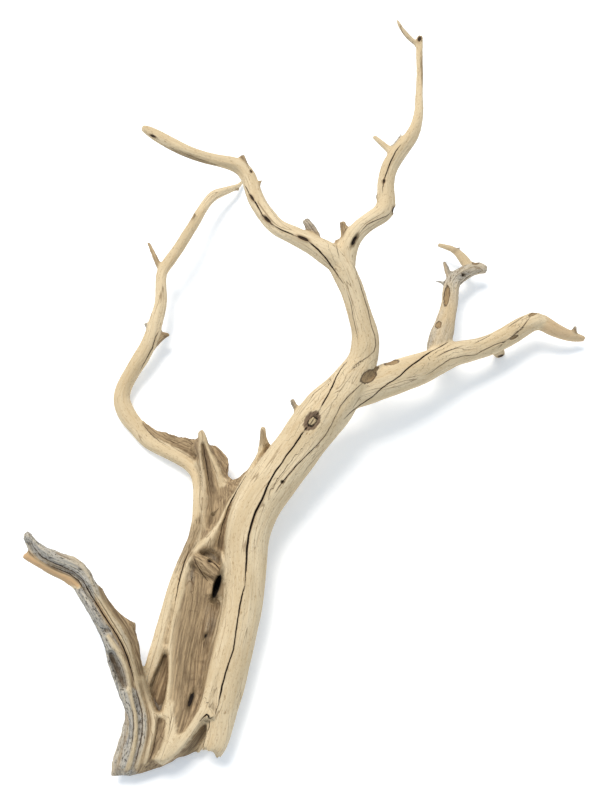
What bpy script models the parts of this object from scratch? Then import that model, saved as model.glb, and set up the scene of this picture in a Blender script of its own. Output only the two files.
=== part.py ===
"""A branching piece of driftwood, grown in one piece: one closed solid, in metres, +Z up.

The wood lies on the floor with its broken base towards -Y and its two thin arms towards +Y.
Every limb, strand and stub is a route. A route's point says where the point is seen in a
picture 600 wide and 800 high (across, down), how high its middle lies above the floor and how
thick the wood is there (height and radius in millimetres). One camera turns the seen place and
the height into a place in space, so the limbs keep their real sizes and their seen shape.
The torn base, the spike, the shoulder and the horn have sharp ridges with hollows between them.
They are one body over an edge and ridge and valley lines, given in the same way with a height.
"""
import math

import bmesh
import bpy
from mathutils import Vector
from mathutils.geometry import delaunay_2d_cdt

# The eye above the floor: it looks towards +Y and down
EYE_DISTANCE = 0.80
EYE_TILT = math.radians(65.0)
PICTURE_WIDTH = 600.0
PICTURE_HEIGHT = 800.0
SEEN_ANGLE = math.radians(46.0)
# The middle of the object's box, seen from the point on the floor that the eye looks at
BOX_MIDDLE_X = 0.0239
BOX_MIDDLE_Y = -0.0175

# How the single solid is fused and thinned out
FUSE_SIZE = 0.0013
SMOOTH_ROUNDS = 2
FACES_KEPT = 5600
THINNEST_RADIUS = 1.3
FLOOR_SIZE = 2.0
FLOOR_DEPTH = 0.1

# The two big strands: (across, down, height mm, radius mm)
TRUNK = [
    (212, 752, 16, 7), (214, 747, 17, 8.2), (217.5, 740, 17.5, 8.4), (220, 730, 18, 8.9),
    (221, 717, 18.5, 10.4), (222.7, 700, 19, 12.6), (226.3, 680, 20, 14), (232.5, 650, 22, 14.8),
    (239.5, 620, 24, 14.9), (243.3, 600, 25, 15.2), (245, 580, 26, 15.8), (246, 560, 27, 16.3),
    (247, 540, 29, 17), (251, 520, 31, 18), (260, 500, 33, 18.4), (272, 483, 36, 18.6), (286, 464, 39, 18.6),
    (301, 445, 42, 18.6), (315, 425, 45, 19.4), (329, 408, 49, 19.2),
    (344, 391, 53, 16), (354, 376, 58, 13.8),
    (363, 360, 63, 11.4), (365, 348, 68, 11), (365.5, 335, 72, 10.2), (361, 320, 78, 9.3),
    (356.5, 303, 84, 9), (351.5, 288, 90, 9.2), (345.5, 275, 95, 10), (339, 262, 99, 9.8),
]
LEFT_STRAND = [
    (146, 686, 19, 2.6), (147.5, 678, 20, 3.6), (150.5, 668, 21, 4.6), (155, 656, 22, 5.2),
    (159.5, 641, 23, 5.1), (163.5, 626, 24, 4.8), (167, 611, 24, 4.6), (171, 596, 25, 4.4),
    (175, 582, 25, 4.2), (181, 566, 25, 3.8), (187.5, 550, 24, 3.4), (193, 535, 24, 3.2),
    (196, 520, 23, 3.2), (197, 500, 22, 3.4), (197.5, 484, 19, 3.8), (194, 471, 16, 4.4),
    (187, 463, 13, 4.8), (173, 455, 11, 5.2), (160, 448, 9, 5.8), (148, 440, 7, 6.4),
    (138, 428, 6, 7), (127.5, 415, 6.5, 7.4), (121.5, 401, 9, 6.9), (124, 387, 11, 6.6),
    (132.5, 371, 14, 6.7), (141, 358, 17, 7), (148.5, 345, 20, 6.6), (153, 332, 23, 6.2),
    (156, 320, 25, 5.6), (159.5, 308, 27, 5), (161, 297, 28, 4.9), (161, 284, 30, 4.8),
    (162, 272, 31, 4.9), (169, 262, 32, 5), (177.5, 250, 33, 4.8), (185.5, 237, 33, 4.7),
    (193.5, 224, 32, 4.6), (201.5, 211, 29, 4.4), (208, 201, 26, 4.5), (214, 195.5, 23, 4.4),
    (222, 192, 18, 3.8), (231, 189, 13, 3.2), (238, 186, 8, 2.5), (242, 182, 4, 1.6),
]

# The arms and branches that leave the trunk
LEFT_BOUGH = [
    (345, 274, 96, 7), (336, 260, 101, 9.4), (325, 252, 105, 9), (313, 245, 107, 7.8),
    (300, 238.5, 109, 7), (288, 233, 110, 6.6), (278, 228, 111, 6.4), (269.5, 219, 112, 6.5),
    (261, 208, 113, 6.2), (255, 197, 114, 6.2), (251.5, 185, 115, 6), (247, 174, 117, 6.2),
    (240, 166.5, 119, 6), (230, 163, 121, 5.6), (215, 160, 123, 5), (200, 156, 126, 5),
    (185, 150.5, 129, 5), (170, 143, 132, 5.2), (157, 136, 135, 4.9), (149, 131, 137, 4),
    (142.5, 128, 139, 2.6),
]
RIGHT_BOUGH = [
    (346, 264, 98, 7.4), (347, 251, 103, 8.2), (351, 240, 106, 7.8), (358.5, 230, 109, 7.4),
    (367, 223, 111, 7), (377, 217, 113, 7.2), (385.5, 210, 115, 8), (386.5, 199, 117, 7.2),
    (385.5, 188, 120, 7), (386.5, 177, 123, 6.7), (389.5, 166, 126, 6.7), (396, 156, 129, 6.7),
    (404, 146, 132, 6.3), (411.5, 136, 135, 5.6), (416.5, 125, 138, 4.6), (419, 112, 141, 3.8),
    (419, 99, 144, 3.4), (419.5, 85, 147, 3), (419.5, 70, 150, 2.8), (419.5, 55, 153, 2.9),
    (419.5, 45, 155, 3), (420, 36, 157, 2.2),
]
TOP_TWIG = [
    (419, 47, 155, 2), (415, 42, 156, 2.3), (410, 39, 158, 2.3), (405, 33, 160, 2.1),
    (400, 27, 162, 1.9), (397, 20, 164, 1.3),
]
RIGHT_BRANCH = [
    (350, 394, 49, 13), (366, 388, 49, 13.5), (380, 383, 48, 13.7), (400, 375.5, 46, 13.7),
    (420, 369, 43, 12.7), (438, 361, 40, 11.4), (455, 353.5, 37, 10), (470, 350.5, 34, 9),
    (484, 347, 31, 8.3), (497, 341.5, 29, 8.6), (509, 335, 28, 8.6), (520, 328, 28, 8.4),
    (530, 322.5, 28, 8.2), (538, 320, 28, 7.7),
]
RIGHT_TIP = [
    (533, 320, 28, 7.7), (540, 321.5, 27, 7.6), (548, 326, 25, 6.5), (557, 331, 22, 6),
    (566, 334.5, 18, 5.2), (574, 336.5, 15, 4.4), (580, 338, 12, 3.4), (584.5, 339, 11, 2.2),
]
FOOT = [(494, 344, 26, 6.5), (497, 349, 14, 6), (499, 352.5, 4, 4.8), (499.5, 353.5, -3, 4)]
SIDE_BRANCH = [
    (436, 354, 37, 8.5), (440, 341, 37, 10), (444, 328, 36, 9), (447, 316, 33, 7.7),
    (449.5, 306, 31, 7), (450.5, 295, 29, 6.8), (451.5, 285, 27, 6.7), (456.5, 278, 25, 6.4),
    (465, 272.5, 23, 6), (473, 269, 21, 5.6), (480, 268, 19, 5.2), (486.5, 270, 18, 3.6),
]
SIDE_TWIG = [
    (470, 268, 21, 4.6), (464, 260, 20, 4.3), (458, 253, 19, 3.4), (452, 249, 18, 2.7),
    (445, 247, 17, 2.3), (438, 245, 16, 1.8),
]

# The wide, flat wood under the torn base, and how flat it is pressed
BELLY = [
    (150, 742, 8, 18), (160, 732, 6.5, 22), (169, 716, 6.3, 24), (177, 690, 8, 25),
    (187, 660, 10, 26), (196, 630, 11, 26), (205, 600, 12, 25), (212, 570, 13, 22),
    (216, 540, 14, 20), (220, 510, 16, 17), (226, 490, 18, 12), (233, 480, 21, 6),
]
BELLY_FLATNESS = 0.32

# The edge of the torn base and horn: (across, down, height mm)
TORN_EDGE = [
    (275, 447, 34), (270, 462, 30), (262, 476, 28), (254, 490, 24), (246, 530, 22), (243, 570, 20),
    (240, 605, 18), (234, 645, 18), (228, 680, 17), (223, 705, 16), (220, 725, 14), (214, 740, 12),
    (208, 746, 11), (200, 753, 10), (194, 753, 10), (186, 757, 10), (178, 758, 11), (166, 764, 12),
    (160, 768, 12), (150, 771, 12), (140, 774, 12), (126, 777, 12), (110, 777, 12), (111, 764, 14),
    (115, 750, 16), (120, 736, 19), (124.5, 720, 25), (124.5, 710, 31), (120, 698, 36), (113, 680, 41),
    (107.5, 662, 46), (105, 650, 49), (101, 638, 52), (96, 627.5, 54), (90, 617, 56), (81, 602, 59),
    (74, 590, 61), (67.5, 585, 62), (60, 580, 63), (47.5, 574, 64), (37.5, 567.5, 66), (29, 562.5, 68),
    (21, 557.5, 70), (24, 553, 73), (26.5, 551.5, 74), (24.5, 546, 77), (22, 538, 80), (24, 532, 82),
    (27.5, 530, 83), (31.5, 533.5, 82), (38, 541, 80), (47.5, 547, 78), (50.5, 544.5, 78), (52, 548, 78),
    (61, 552, 76), (75, 555.5, 73), (85, 563, 71), (91.5, 571, 68), (96.5, 582, 64), (101.5, 585, 58),
    (104.5, 592.5, 55), (110, 601, 52), (120, 612.5, 48), (130, 619.5, 45), (136.5, 622, 43),
    (136, 632, 42), (139, 643, 41), (140.5, 660, 38), (143.5, 672, 32), (147, 684, 24), (149.5, 668, 18),
    (157, 645, 19), (165, 615, 20), (171, 592, 20), (179, 568, 20), (187, 548, 20), (194, 528, 19),
    (196, 505, 18), (196, 487, 15), (190, 474, 12), (178, 462, 10), (160, 453, 9), (147, 441, 9),
    (139, 428, 9), (142, 418.5, 12), (150, 425, 13), (157, 430, 13), (166, 431, 14), (176, 434.5, 15),
    (186, 436, 16), (196, 437.5, 21), (197.3, 433, 33), (199.5, 429.5, 36), (203.5, 429.5, 36),
    (206, 435, 32), (209, 443.5, 24), (216, 444.5, 21), (222.5, 450.5, 20), (228.5, 458, 20),
    (229, 467, 20), (228, 475, 22), (229.5, 480, 25), (239, 477, 29), (247, 470, 32), (253, 461, 34),
    (257.5, 452, 36), (259.3, 440, 38), (260, 430, 40), (261.5, 425.5, 41), (265.5, 426.5, 41),
    (266.5, 436, 40), (269, 442, 38),
]

# Ridges and hollows inside that edge
TORN_LINES = {
    "crest_ridge": [
        (262.8, 430, 43), (263.2, 440, 42), (261.5, 449, 41), (257, 457, 40), (252, 465, 39), (247, 474, 38),
        (241, 484, 37), (235.5, 493, 36), (229, 503, 35), (224, 514, 34.5), (219, 525, 34), (212, 534, 34),
        (204, 542, 33.5), (196, 549, 33), (190, 557, 33), (186, 566, 32.5), (182, 578, 32), (179, 590, 32),
        (175.5, 604, 31.5), (172.5, 618, 31), (170, 634, 30.5), (168.7, 650, 30), (169, 666, 29.5),
        (168, 682, 29), (165.5, 700, 28), (162.5, 714, 27),
    ],
    "crest_groove": [
        (197.5, 492, 17), (197.8, 508, 18), (196.5, 526, 19), (191.8, 542, 19), (187, 554, 19),
        (182, 568, 20), (178.3, 582, 20), (174.8, 597, 20), (171.3, 612, 20), (168.7, 628, 19),
        (166.6, 642, 18),
    ],
    "trunk_groove": [
        (267.5, 449, 35), (261.5, 459, 34), (255, 468, 33), (247.5, 478, 32), (240.5, 488, 31.5),
        (233, 500, 31), (227.5, 511, 30.5), (224, 523, 30), (221.5, 535, 29), (219.5, 546, 27),
    ],
    "crest_shelf": [(222, 524, 31), (218, 534, 31.5), (212, 542, 32), (203, 546, 32)],
    "hollow_rim": [
        (190, 563, 31), (194, 555, 31.5), (200, 550, 32), (208, 548, 31), (215, 550, 29), (219, 553, 26),
    ],
    "hollow_top": [
        (195, 566, 26), (199.5, 558, 25), (206, 554.5, 24), (213, 556, 23), (219, 561, 21),
    ],
    "slope_left": [
        (182, 622, 28.4), (178.5, 642, 28), (177, 664, 28), (177.3, 684, 28), (178.5, 702, 28),
        (178, 720, 28),
    ],
    "floor_middle": [
        (203, 578, 24), (201, 600, 23.5), (196, 626, 23), (191, 650, 22.5), (188, 674, 22.5),
        (187, 698, 23), (185, 714, 25), (181, 728, 26.7),
    ],
    "floor_right": [
        (219, 604, 18), (214.5, 625, 18), (209, 648, 18), (204, 670, 19), (200.5, 690, 21), (196.5, 706, 24),
        (189, 719, 26), (181.5, 731, 27),
    ],
    "rim_and_lip": [
        (223.5, 563, 34), (228, 584, 34), (225, 604, 33.5), (220.5, 624, 33), (214.8, 646, 32.5),
        (209, 670, 32), (204.5, 692, 31.5), (200, 708, 31), (193, 720.5, 30.3), (186, 730.5, 29.6),
        (178.5, 740, 28.9), (171, 750, 28), (163, 761, 25.5),
    ],
    "trunk_flank": [
        (232, 590, 36.5), (229, 608, 36), (225, 628, 35.5), (220, 650, 34.5), (214.5, 674, 33.5),
        (210.5, 694, 32.5), (209, 708, 31.5),
    ],
    "lip_edge": [
        (214, 717, 32), (210.5, 717.5, 31.5), (207.3, 714.5, 31.3), (203.5, 716.5, 31), (199, 723, 30.5),
        (192.5, 733, 29.6), (185, 743, 28.6), (176, 753, 27), (168.5, 760, 24.5),
    ],
    "torn_cave": [
        (211, 722.5, 18), (206.3, 726, 17), (201, 732, 16),
        (195.3, 740, 15), (187.5, 749, 14), (180, 755, 14),
    ],
    "apron_middle": [
        (167.5, 706, 28.3), (170.5, 720, 28.6), (171, 734, 28.6), (166, 746, 27.6), (158, 759, 24.8),
    ],
    "base_crack": [(160, 721, 24), (157, 733, 24.5), (154, 745, 24), (150.5, 758, 22), (148, 767, 16)],
    "wedge_floor": [
        (164.3, 657, 15), (159.5, 669, 12), (154, 681, 11),
        (153, 690, 11), (157.5, 701, 11), (160.3, 710, 13),
    ],
    "wedge_right": [(166.6, 656, 16), (166.6, 672, 13), (165, 688, 12), (162.3, 702, 12)],
    "inner_ridge": [
        (201.5, 432, 37), (199.7, 441, 36), (199.8, 455, 34), (201.3, 468, 32.5), (204, 482, 31.5),
        (202.5, 494, 31), (201, 506, 31), (203, 519, 31), (205.5, 530, 32),
    ],
    "right_ridge": [
        (204.3, 435, 36), (207, 444, 34.5), (211, 455, 33),
        (216, 465.5, 32), (220.5, 475, 31), (223, 485, 29),
    ],
    "spike_groove": [
        (203.2, 446, 30), (206, 457, 27.5), (208.3, 468, 26.5), (210.3, 480, 26), (212, 490, 26),
    ],
    "recess_floor": [(213.5, 499, 25.5), (212, 510, 25.5), (210, 521, 26), (208, 529, 28)],
    "recess_top": [
        (231, 484.5, 30), (224, 491, 28), (218, 498, 26.5),
    ],
    "shoulder_middle": [
        (144, 424, 12.5), (153, 432, 13), (165, 439, 13), (178, 444, 13.5), (189, 449, 15), (196, 456, 18),
    ],
    "strand_back": [(191, 463, 15), (197, 471, 17), (199.5, 482, 20), (199, 493, 20)],
    "slope_upper": [
        (189.5, 576, 29.5), (187, 592, 29.1), (184, 608, 28.7),
    ],
    "rim_inner": [
        (176.3, 617, 30), (174, 634, 29.5), (172.6, 650, 29), (172.8, 666, 28.6), (172, 682, 28.2),
        (170.5, 696, 28),
    ],
    "recess_wall": [
        (237.5, 482, 32), (231.5, 492, 31), (225.5, 501.5, 30), (220.5, 511.5, 29.5), (215.5, 521, 29.5),
        (209.5, 528.5, 30), (204.5, 534, 31.5),
    ],
    "shoulder_right": [
        (212, 450, 23), (218, 456, 22), (222.5, 464, 22), (224.5, 474, 23),
    ],
}

# Ridges and hollows of the horn, which run on down into the base
HORN_LINES = {
    "horn_top": [
        (28.5, 535, 86), (38, 545.5, 85), (50, 551.5, 83), (62, 557, 80), (74, 561.5, 78), (83, 568, 75),
        (89.5, 577, 72), (94.5, 588, 69), (100, 600, 66), (107, 611, 63), (114, 622, 60), (121, 633, 57),
        (127, 645, 54), (131.5, 657, 51), (134.5, 670, 47),
        (137.5, 684, 42.5), (141, 698, 37), (144, 712, 32.5),
        (144.7, 727, 30), (143, 741, 28), (140, 755, 25), (136, 768, 21),
    ],
    "horn_speckled": [
        (31, 541, 82), (38, 550, 81), (49, 558, 79.5), (61, 563, 77), (73, 568, 75), (81, 574, 73),
        (87, 583, 70.5),
    ],
    "horn_groove": [
        (29.5, 543, 76), (33, 549.5, 74), (39, 557, 72.5), (48, 564.5, 70.5), (60, 570, 68.5),
        (72, 574.5, 66.5), (80, 580, 65), (85.5, 588, 63.5), (90.5, 597, 62), (96.5, 608, 60),
        (103.5, 619, 58), (110.5, 631, 55.5), (117, 642, 53.5), (123, 652.5, 51.5), (127.7, 664, 48.5),
        (131.3, 678, 44), (134.3, 693, 38), (138, 709, 31), (140.3, 725, 27.7), (139, 741, 26),
        (135.5, 757, 23), (131.7, 771, 17),
    ],
    "jaw": [
        (25, 557, 74), (34, 562, 73), (46, 568, 71), (58, 574, 69.5), (70, 579.5, 68), (77, 585, 66.5),
    ],
    "horn_outer": [
        (76, 591, 64.5), (84, 603, 62.5), (91, 615, 60.5), (97.5, 626, 58), (103, 637, 55.5), (107, 650, 52),
        (110, 664, 48.5), (116, 681, 44.5), (122.5, 695, 41),
        (127.5, 707, 37), (131, 720, 34), (131, 735, 31.5),
        (127.5, 750, 28.5), (122.5, 766, 22),
    ],
    "horn_yellow": [
        (81, 590, 67), (88, 602, 65.5), (94.5, 613, 64),
        (101.5, 625, 62), (108, 636.5, 59.5), (114.5, 646, 57.5),
        (120.5, 656, 55), (125, 666, 51.5), (127.8, 677, 47.5), (130, 689, 43.5), (133, 701, 38.5),
        (136, 714, 34), (137, 728, 31.5), (135.5, 742, 29.5), (132.5, 756, 26.5), (128.5, 769, 21),
    ],
    "horn_red": [
        (97.5, 603, 63.5), (104.5, 614, 61.5), (111.5, 626, 59), (118, 637, 56.5), (124, 648, 54),
        (128.8, 659, 50.5), (132, 671, 47), (135, 685, 42),
    ],
    "horn_plate": [
        (102.5, 593, 57), (110, 606, 54), (118, 616.5, 50.5), (127, 627, 47), (132, 640, 45), (136, 654, 42),
        (139, 667, 39),
    ],
    "outer_band": [
        (143.5, 683, 36), (147, 695, 32), (151.5, 708, 30.5), (155, 720, 29.5), (152.8, 735, 28.3),
        (149, 749, 26.5), (145, 763, 22),
    ],
    "outer_groove": [
        (140.5, 685, 38), (144, 698, 33), (148, 711, 29.5), (149.2, 724, 27.7), (147.5, 738, 26.2),
        (144, 753, 24), (140, 767, 18.5),
    ],
    "grey_groove": [(127.5, 718, 31), (127, 732, 28.5), (123, 748, 26), (118, 765, 20)],
    "left_band": [(124, 728, 26.5), (119.5, 744, 24), (114.5, 762, 20)],
    "horn_cave": [
        (108.5, 653.5, 44), (112, 660, 41), (116, 668.5, 38.5), (120, 677, 37), (123.8, 685, 37.5),
    ],
}

# The lowest that the torn wood's underside lies, and how it rises under the horn (metres)
UNDERSIDE = 0.005
HORN_THICKNESS = 0.009
HORN_ROOT = 0.030
HORN_RISE = 1.7
# Drawn places nearer than this count as one (picture places)
NEAR = 0.05

# The broken knot in the hollow, and small stubs, pegs, teeth and knobs
KNOT_BLOCK = [
    (193, 555, 32, 2.8), (200, 561, 30, 5), (208, 567, 28, 6.6), (215, 573, 26, 6), (219, 577, 25, 4),
]
STUBS = {
    "trunk_peg": [(301, 418, 46, 2.8), (296, 410, 50, 2.4), (292, 399, 54, 1.9)],
    "bough_stub": [(317, 238, 107, 4.2), (312, 230, 109, 4.2), (307.5, 224, 111, 4), (305, 219.5, 113, 3)],
    "bough_cap": [(245, 168, 119, 3.6), (243.5, 161, 121, 3), (242, 155, 123, 2.2)],
    "bough_thorn": [(257, 190, 115, 2.2), (259.5, 185, 117, 1.7), (261.5, 179.5, 119, 1.2)],
    "fork_stub": [(345, 237, 108, 3.4), (343.5, 228, 110, 2.6), (342.5, 221.5, 112, 2.6)],
    "fork_peg": [(339, 243, 104, 3.6), (336, 240, 106, 2.4)],
    "right_spur": [(393, 154, 129, 3.6), (387, 148, 130, 2.9), (380, 142, 132, 2.3), (373.5, 136, 134, 1.7)],
    "right_tooth": [(394, 150, 130, 3.6), (397, 145, 131, 3.2), (400, 139, 132, 2.1), (401, 133, 133, 1)],
    "right_peg": [(379, 197, 118, 2.4), (375.5, 195.5, 119, 1.6)],
    "right_knob": [(389, 209, 115, 3.2), (395, 208, 115, 2.4)],
    "side_peg": [(456, 251, 19, 2), (460, 247, 20, 1)],
    "side_spur": [(451, 281, 26, 3.3), (448, 273, 27, 2.7), (446, 267, 28, 2), (444, 262, 29, 1.4)],
    "side_thorn": [(447, 284, 26, 2.4), (441, 282, 26, 1.6), (435, 281, 26, 0.9)],
    "tip_peg": [(574, 332, 17, 2.8), (575.5, 326, 19, 1.6)],
    "left_twig": [
        (161, 270, 31, 3), (157, 262, 32, 2.5), (153.5, 254, 33, 2),
        (150.5, 247, 34, 1.6), (148.5, 242.5, 35, 1.3),
    ],
    "left_peg": [(152, 333, 24, 2.4), (147.5, 327, 25, 1.9), (144.5, 323, 26, 1.5)],
    "left_tooth": [
        (151, 350, 17, 2.4), (156, 341, 18, 4), (161, 335, 18, 4.4),
        (166, 334.5, 18, 2.8), (170, 335, 18, 1.2),
    ],
    "left_sliver": [(188, 229, 34, 1.7), (192, 220, 36, 1.4), (195, 212, 38, 0.9)],
    "left_knob": [(234, 189, 11, 1.7), (239, 190, 7, 1.4)],
}

# Holes in the wood: (across, down, height mm, half length, half width, depth mm, turn in degrees)
HOLES = [
    (217.5, 586, 24, 11, 3, 12, 73),
    (205.3, 635, 24, 7, 2.1, 10, 75),
    (191, 699, 26, 7, 2, 10, 72),
]


def clear_scene():
    """Start from an empty scene."""
    for thing in list(bpy.data.objects):
        bpy.data.objects.remove(thing, do_unlink=True)


def collection(name):
    """A collection in the scene with this name."""
    group = bpy.data.collections.new(name)
    bpy.context.scene.collection.children.link(group)
    return group


def seen_place(across, down, height):
    """The point, at this height in millimetres, on the sight line through a place in the picture."""
    focus = (PICTURE_HEIGHT / 2) / math.tan(SEEN_ANGLE / 2)
    eye = Vector((0.0, -EYE_DISTANCE * math.cos(EYE_TILT), EYE_DISTANCE * math.sin(EYE_TILT)))
    ahead = Vector((0.0, math.cos(EYE_TILT), -math.sin(EYE_TILT)))
    upward = Vector((0.0, math.sin(EYE_TILT), math.cos(EYE_TILT)))
    sideways = (across - PICTURE_WIDTH / 2) / focus
    rise = (PICTURE_HEIGHT / 2 - down) / focus
    sight = ahead + sideways * Vector((1.0, 0.0, 0.0)) + rise * upward
    place = eye + sight * ((height * 0.001 - eye.z) / sight.z)
    return place - Vector((BOX_MIDDLE_X, BOX_MIDDLE_Y, 0.0))


def fixed_mesh(thing, group):
    """Turn a curve object into a mesh object with its caps welded on, and return it."""
    bpy.context.view_layer.update()
    evaluated = thing.evaluated_get(bpy.context.evaluated_depsgraph_get())
    mesh = bpy.data.meshes.new_from_object(evaluated)
    work = bmesh.new()
    work.from_mesh(mesh)
    work.transform(thing.matrix_world)
    bmesh.ops.remove_doubles(work, verts=work.verts, dist=1e-5)
    bmesh.ops.recalc_face_normals(work, faces=work.faces)
    work.to_mesh(mesh)
    work.free()
    solid = bpy.data.objects.new(thing.name + "_solid", mesh)
    group.objects.link(solid)
    bpy.data.objects.remove(thing, do_unlink=True)
    return solid


def limb(name, route, group, flatness=1.0):
    """A round limb along a route; a flatness under 1 presses its section flat in height."""
    line = bpy.data.curves.new(name, "CURVE")
    line.dimensions = "3D"
    line.bevel_depth = 0.001
    line.bevel_resolution = 3
    line.resolution_u = 4
    line.use_fill_caps = True
    spline = line.splines.new("NURBS")
    spline.points.add(len(route) - 1)
    spline.use_endpoint_u = True
    spline.order_u = 3
    for point, (across, down, height, radius) in zip(spline.points, route):
        place = seen_place(across, down, height)
        point.co = (place.x, place.y, place.z / flatness, 1.0)
        point.radius = max(radius, THINNEST_RADIUS)
    thing = bpy.data.objects.new(name, line)
    thing.scale.z = flatness
    group.objects.link(thing)
    return fixed_mesh(thing, group)


def heights_between(drawn, corners):
    """The height at each corner: the drawn heights, weighted by one over distance to the fourth."""
    heights = []
    for corner in corners:
        weights = [1.0 / (math.dist(corner, place[:2]) + NEAR) ** 4 for place in drawn]
        total = sum(weight * place[2] for weight, place in zip(weights, drawn))
        heights.append(total / sum(weights))
    return heights


def torn_sheet(name, edge, lines, group):
    """A closed body under a net of triangles that joins an edge and the lines inside it."""
    drawn = edge + [place for line in lines for place in line]
    links = []
    start = len(edge)
    for line in lines:
        links += [(start + step, start + step + 1) for step in range(len(line) - 1)]
        start += len(line)
    seen = [Vector(place[:2]) for place in drawn]
    corners, _, faces, _, _, _ = delaunay_2d_cdt(seen, links, [list(range(len(edge)))], 1, NEAR)
    work = bmesh.new()
    top = []
    bottom = []
    for corner, height in zip(corners, heights_between(drawn, corners)):
        place = seen_place(corner.x, corner.y, height)
        top.append(work.verts.new(place))
        if min(math.dist(corner, point[:2]) for point in edge) < NEAR:
            bottom.append(top[-1])
        else:
            depth = min(place.z - HORN_THICKNESS, (place.z - HORN_ROOT) * HORN_RISE)
            bottom.append(work.verts.new((place.x, place.y, max(depth, UNDERSIDE))))
    for face in faces:
        if any(top[corner] is not bottom[corner] for corner in face):
            work.faces.new([top[corner] for corner in face])
            work.faces.new([bottom[corner] for corner in reversed(face)])
    bmesh.ops.recalc_face_normals(work, faces=work.faces)
    mesh = bpy.data.meshes.new(name)
    work.to_mesh(mesh)
    work.free()
    body = bpy.data.objects.new(name, mesh)
    group.objects.link(body)
    return body


def hole_cutter(name, hole, group):
    """A long round cutter that opens one hole from above."""
    across, down, height, half_length, half_width, depth, turn = hole
    bpy.ops.mesh.primitive_uv_sphere_add(segments=16, ring_count=8, radius=0.001)
    cutter = bpy.context.object
    cutter.name = name
    cutter.scale = (half_length, half_width, depth)
    cutter.rotation_euler.z = math.radians(turn)
    cutter.location = seen_place(across, down, height)
    for holder in list(cutter.users_collection):
        holder.objects.unlink(cutter)
    group.objects.link(cutter)
    cutter.hide_render = True
    cutter.display_type = "WIRE"
    return cutter


def joined(pieces, name, group):
    """One mesh object that holds all the given mesh objects' faces."""
    work = bmesh.new()
    for piece in pieces:
        piece.data.transform(piece.matrix_basis)
        work.from_mesh(piece.data)
        bpy.data.objects.remove(piece, do_unlink=True)
    mesh = bpy.data.meshes.new(name)
    work.to_mesh(mesh)
    work.free()
    thing = bpy.data.objects.new(name, mesh)
    group.objects.link(thing)
    return thing


def modified(thing, kind, **values):
    """Add one modifier, apply it to the mesh and return the object."""
    modifier = thing.modifiers.new(kind.title(), kind)
    for key, value in values.items():
        setattr(modifier, key, value)
    bpy.context.view_layer.update()
    evaluated = thing.evaluated_get(bpy.context.evaluated_depsgraph_get())
    mesh = bpy.data.meshes.new_from_object(evaluated)
    thing.modifiers.clear()
    thing.data = mesh
    return thing


def keep_largest(thing):
    """Drop every loose scrap of mesh but the one with the most faces."""
    work = bmesh.new()
    work.from_mesh(thing.data)
    unseen = set(work.faces)
    groups = []
    while unseen:
        front = [unseen.pop()]
        found = list(front)
        while front:
            face = front.pop()
            near = {other for edge in face.edges for other in edge.link_faces if other in unseen}
            unseen -= near
            front.extend(near)
            found.extend(near)
        groups.append(found)
    largest = max(groups, key=len)
    scraps = [face for group in groups if group is not largest for face in group]
    bmesh.ops.delete(work, geom=scraps, context="FACES")
    work.to_mesh(thing.data)
    work.free()


def floor_block(group):
    """The block under the floor that trims the three resting spots flat."""
    bpy.ops.mesh.primitive_cube_add(size=1.0)
    block = bpy.context.object
    block.name = "floor_cutter"
    block.scale = (FLOOR_SIZE, FLOOR_SIZE, FLOOR_DEPTH)
    block.location.z = -FLOOR_DEPTH / 2
    for holder in list(block.users_collection):
        holder.objects.unlink(block)
    group.objects.link(block)
    block.hide_render = True
    block.display_type = "WIRE"
    return block


def wood_material():
    """Pale, dry, matt wood."""
    material = bpy.data.materials.new("pale_driftwood")
    material.use_nodes = True
    shader = material.node_tree.nodes["Principled BSDF"]
    shader.inputs["Base Color"].default_value = (0.62, 0.50, 0.35, 1.0)
    shader.inputs["Roughness"].default_value = 0.8
    shader.inputs["Metallic"].default_value = 0.0
    return material


def build_driftwood():
    """Fuse the limbs, the torn base and the stubs into one closed solid with flat resting spots."""
    parts = collection("driftwood_piece")
    cutters = collection("cutters")
    limbs = [TRUNK, LEFT_STRAND, LEFT_BOUGH, RIGHT_BOUGH, TOP_TWIG, RIGHT_BRANCH, RIGHT_TIP, FOOT]
    limbs += [SIDE_BRANCH, SIDE_TWIG, KNOT_BLOCK]
    pieces = [limb("limb", route, parts) for route in limbs]
    pieces += [limb(stub, route, parts) for stub, route in STUBS.items()]
    pieces.append(limb("belly", BELLY, parts, BELLY_FLATNESS))
    lines = list(TORN_LINES.values()) + list(HORN_LINES.values())
    pieces.append(torn_sheet("torn_wood", TORN_EDGE, lines, parts))
    wood = joined(pieces, "driftwood", parts)
    modified(wood, "REMESH", mode="VOXEL", voxel_size=FUSE_SIZE, adaptivity=0.0)
    modified(wood, "SMOOTH", factor=0.5, iterations=SMOOTH_ROUNDS)
    modified(wood, "DECIMATE", ratio=FACES_KEPT / len(wood.data.polygons), use_collapse_triangulate=True)
    keep_largest(wood)
    holes = joined([hole_cutter("hole", hole, cutters) for hole in HOLES], "hole_cutters", cutters)
    holes.hide_render = True
    holes.display_type = "WIRE"
    modified(wood, "BOOLEAN", operation="DIFFERENCE", object=holes)
    modified(wood, "BOOLEAN", operation="DIFFERENCE", object=floor_block(cutters))
    wood.data.materials.append(wood_material())
    wood.data.shade_smooth()
    return wood


def main():
    """Build the object and print its size."""
    clear_scene()
    wood = build_driftwood()
    corners = [wood.matrix_world @ vertex.co for vertex in wood.data.vertices]
    for axis, name in enumerate("xyz"):
        values = [corner[axis] for corner in corners]
        print(name, round(min(values), 5), round(max(values), 5))


main()
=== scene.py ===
# %% [markdown]
# # A piece of driftwood
#
# The real thing is one forked branch that water and sand have worn smooth: a thick strand, a
# hollow torn base, a grey horn, and thin limbs that curve away. Here it is one mesh. Every limb is
# a ring of points carried along a route, the limbs are fused into one skin, and the skin then gets
# its ridges, cracks, knots and pits from numpy. Lengths are metres where no heading says mm.

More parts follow.
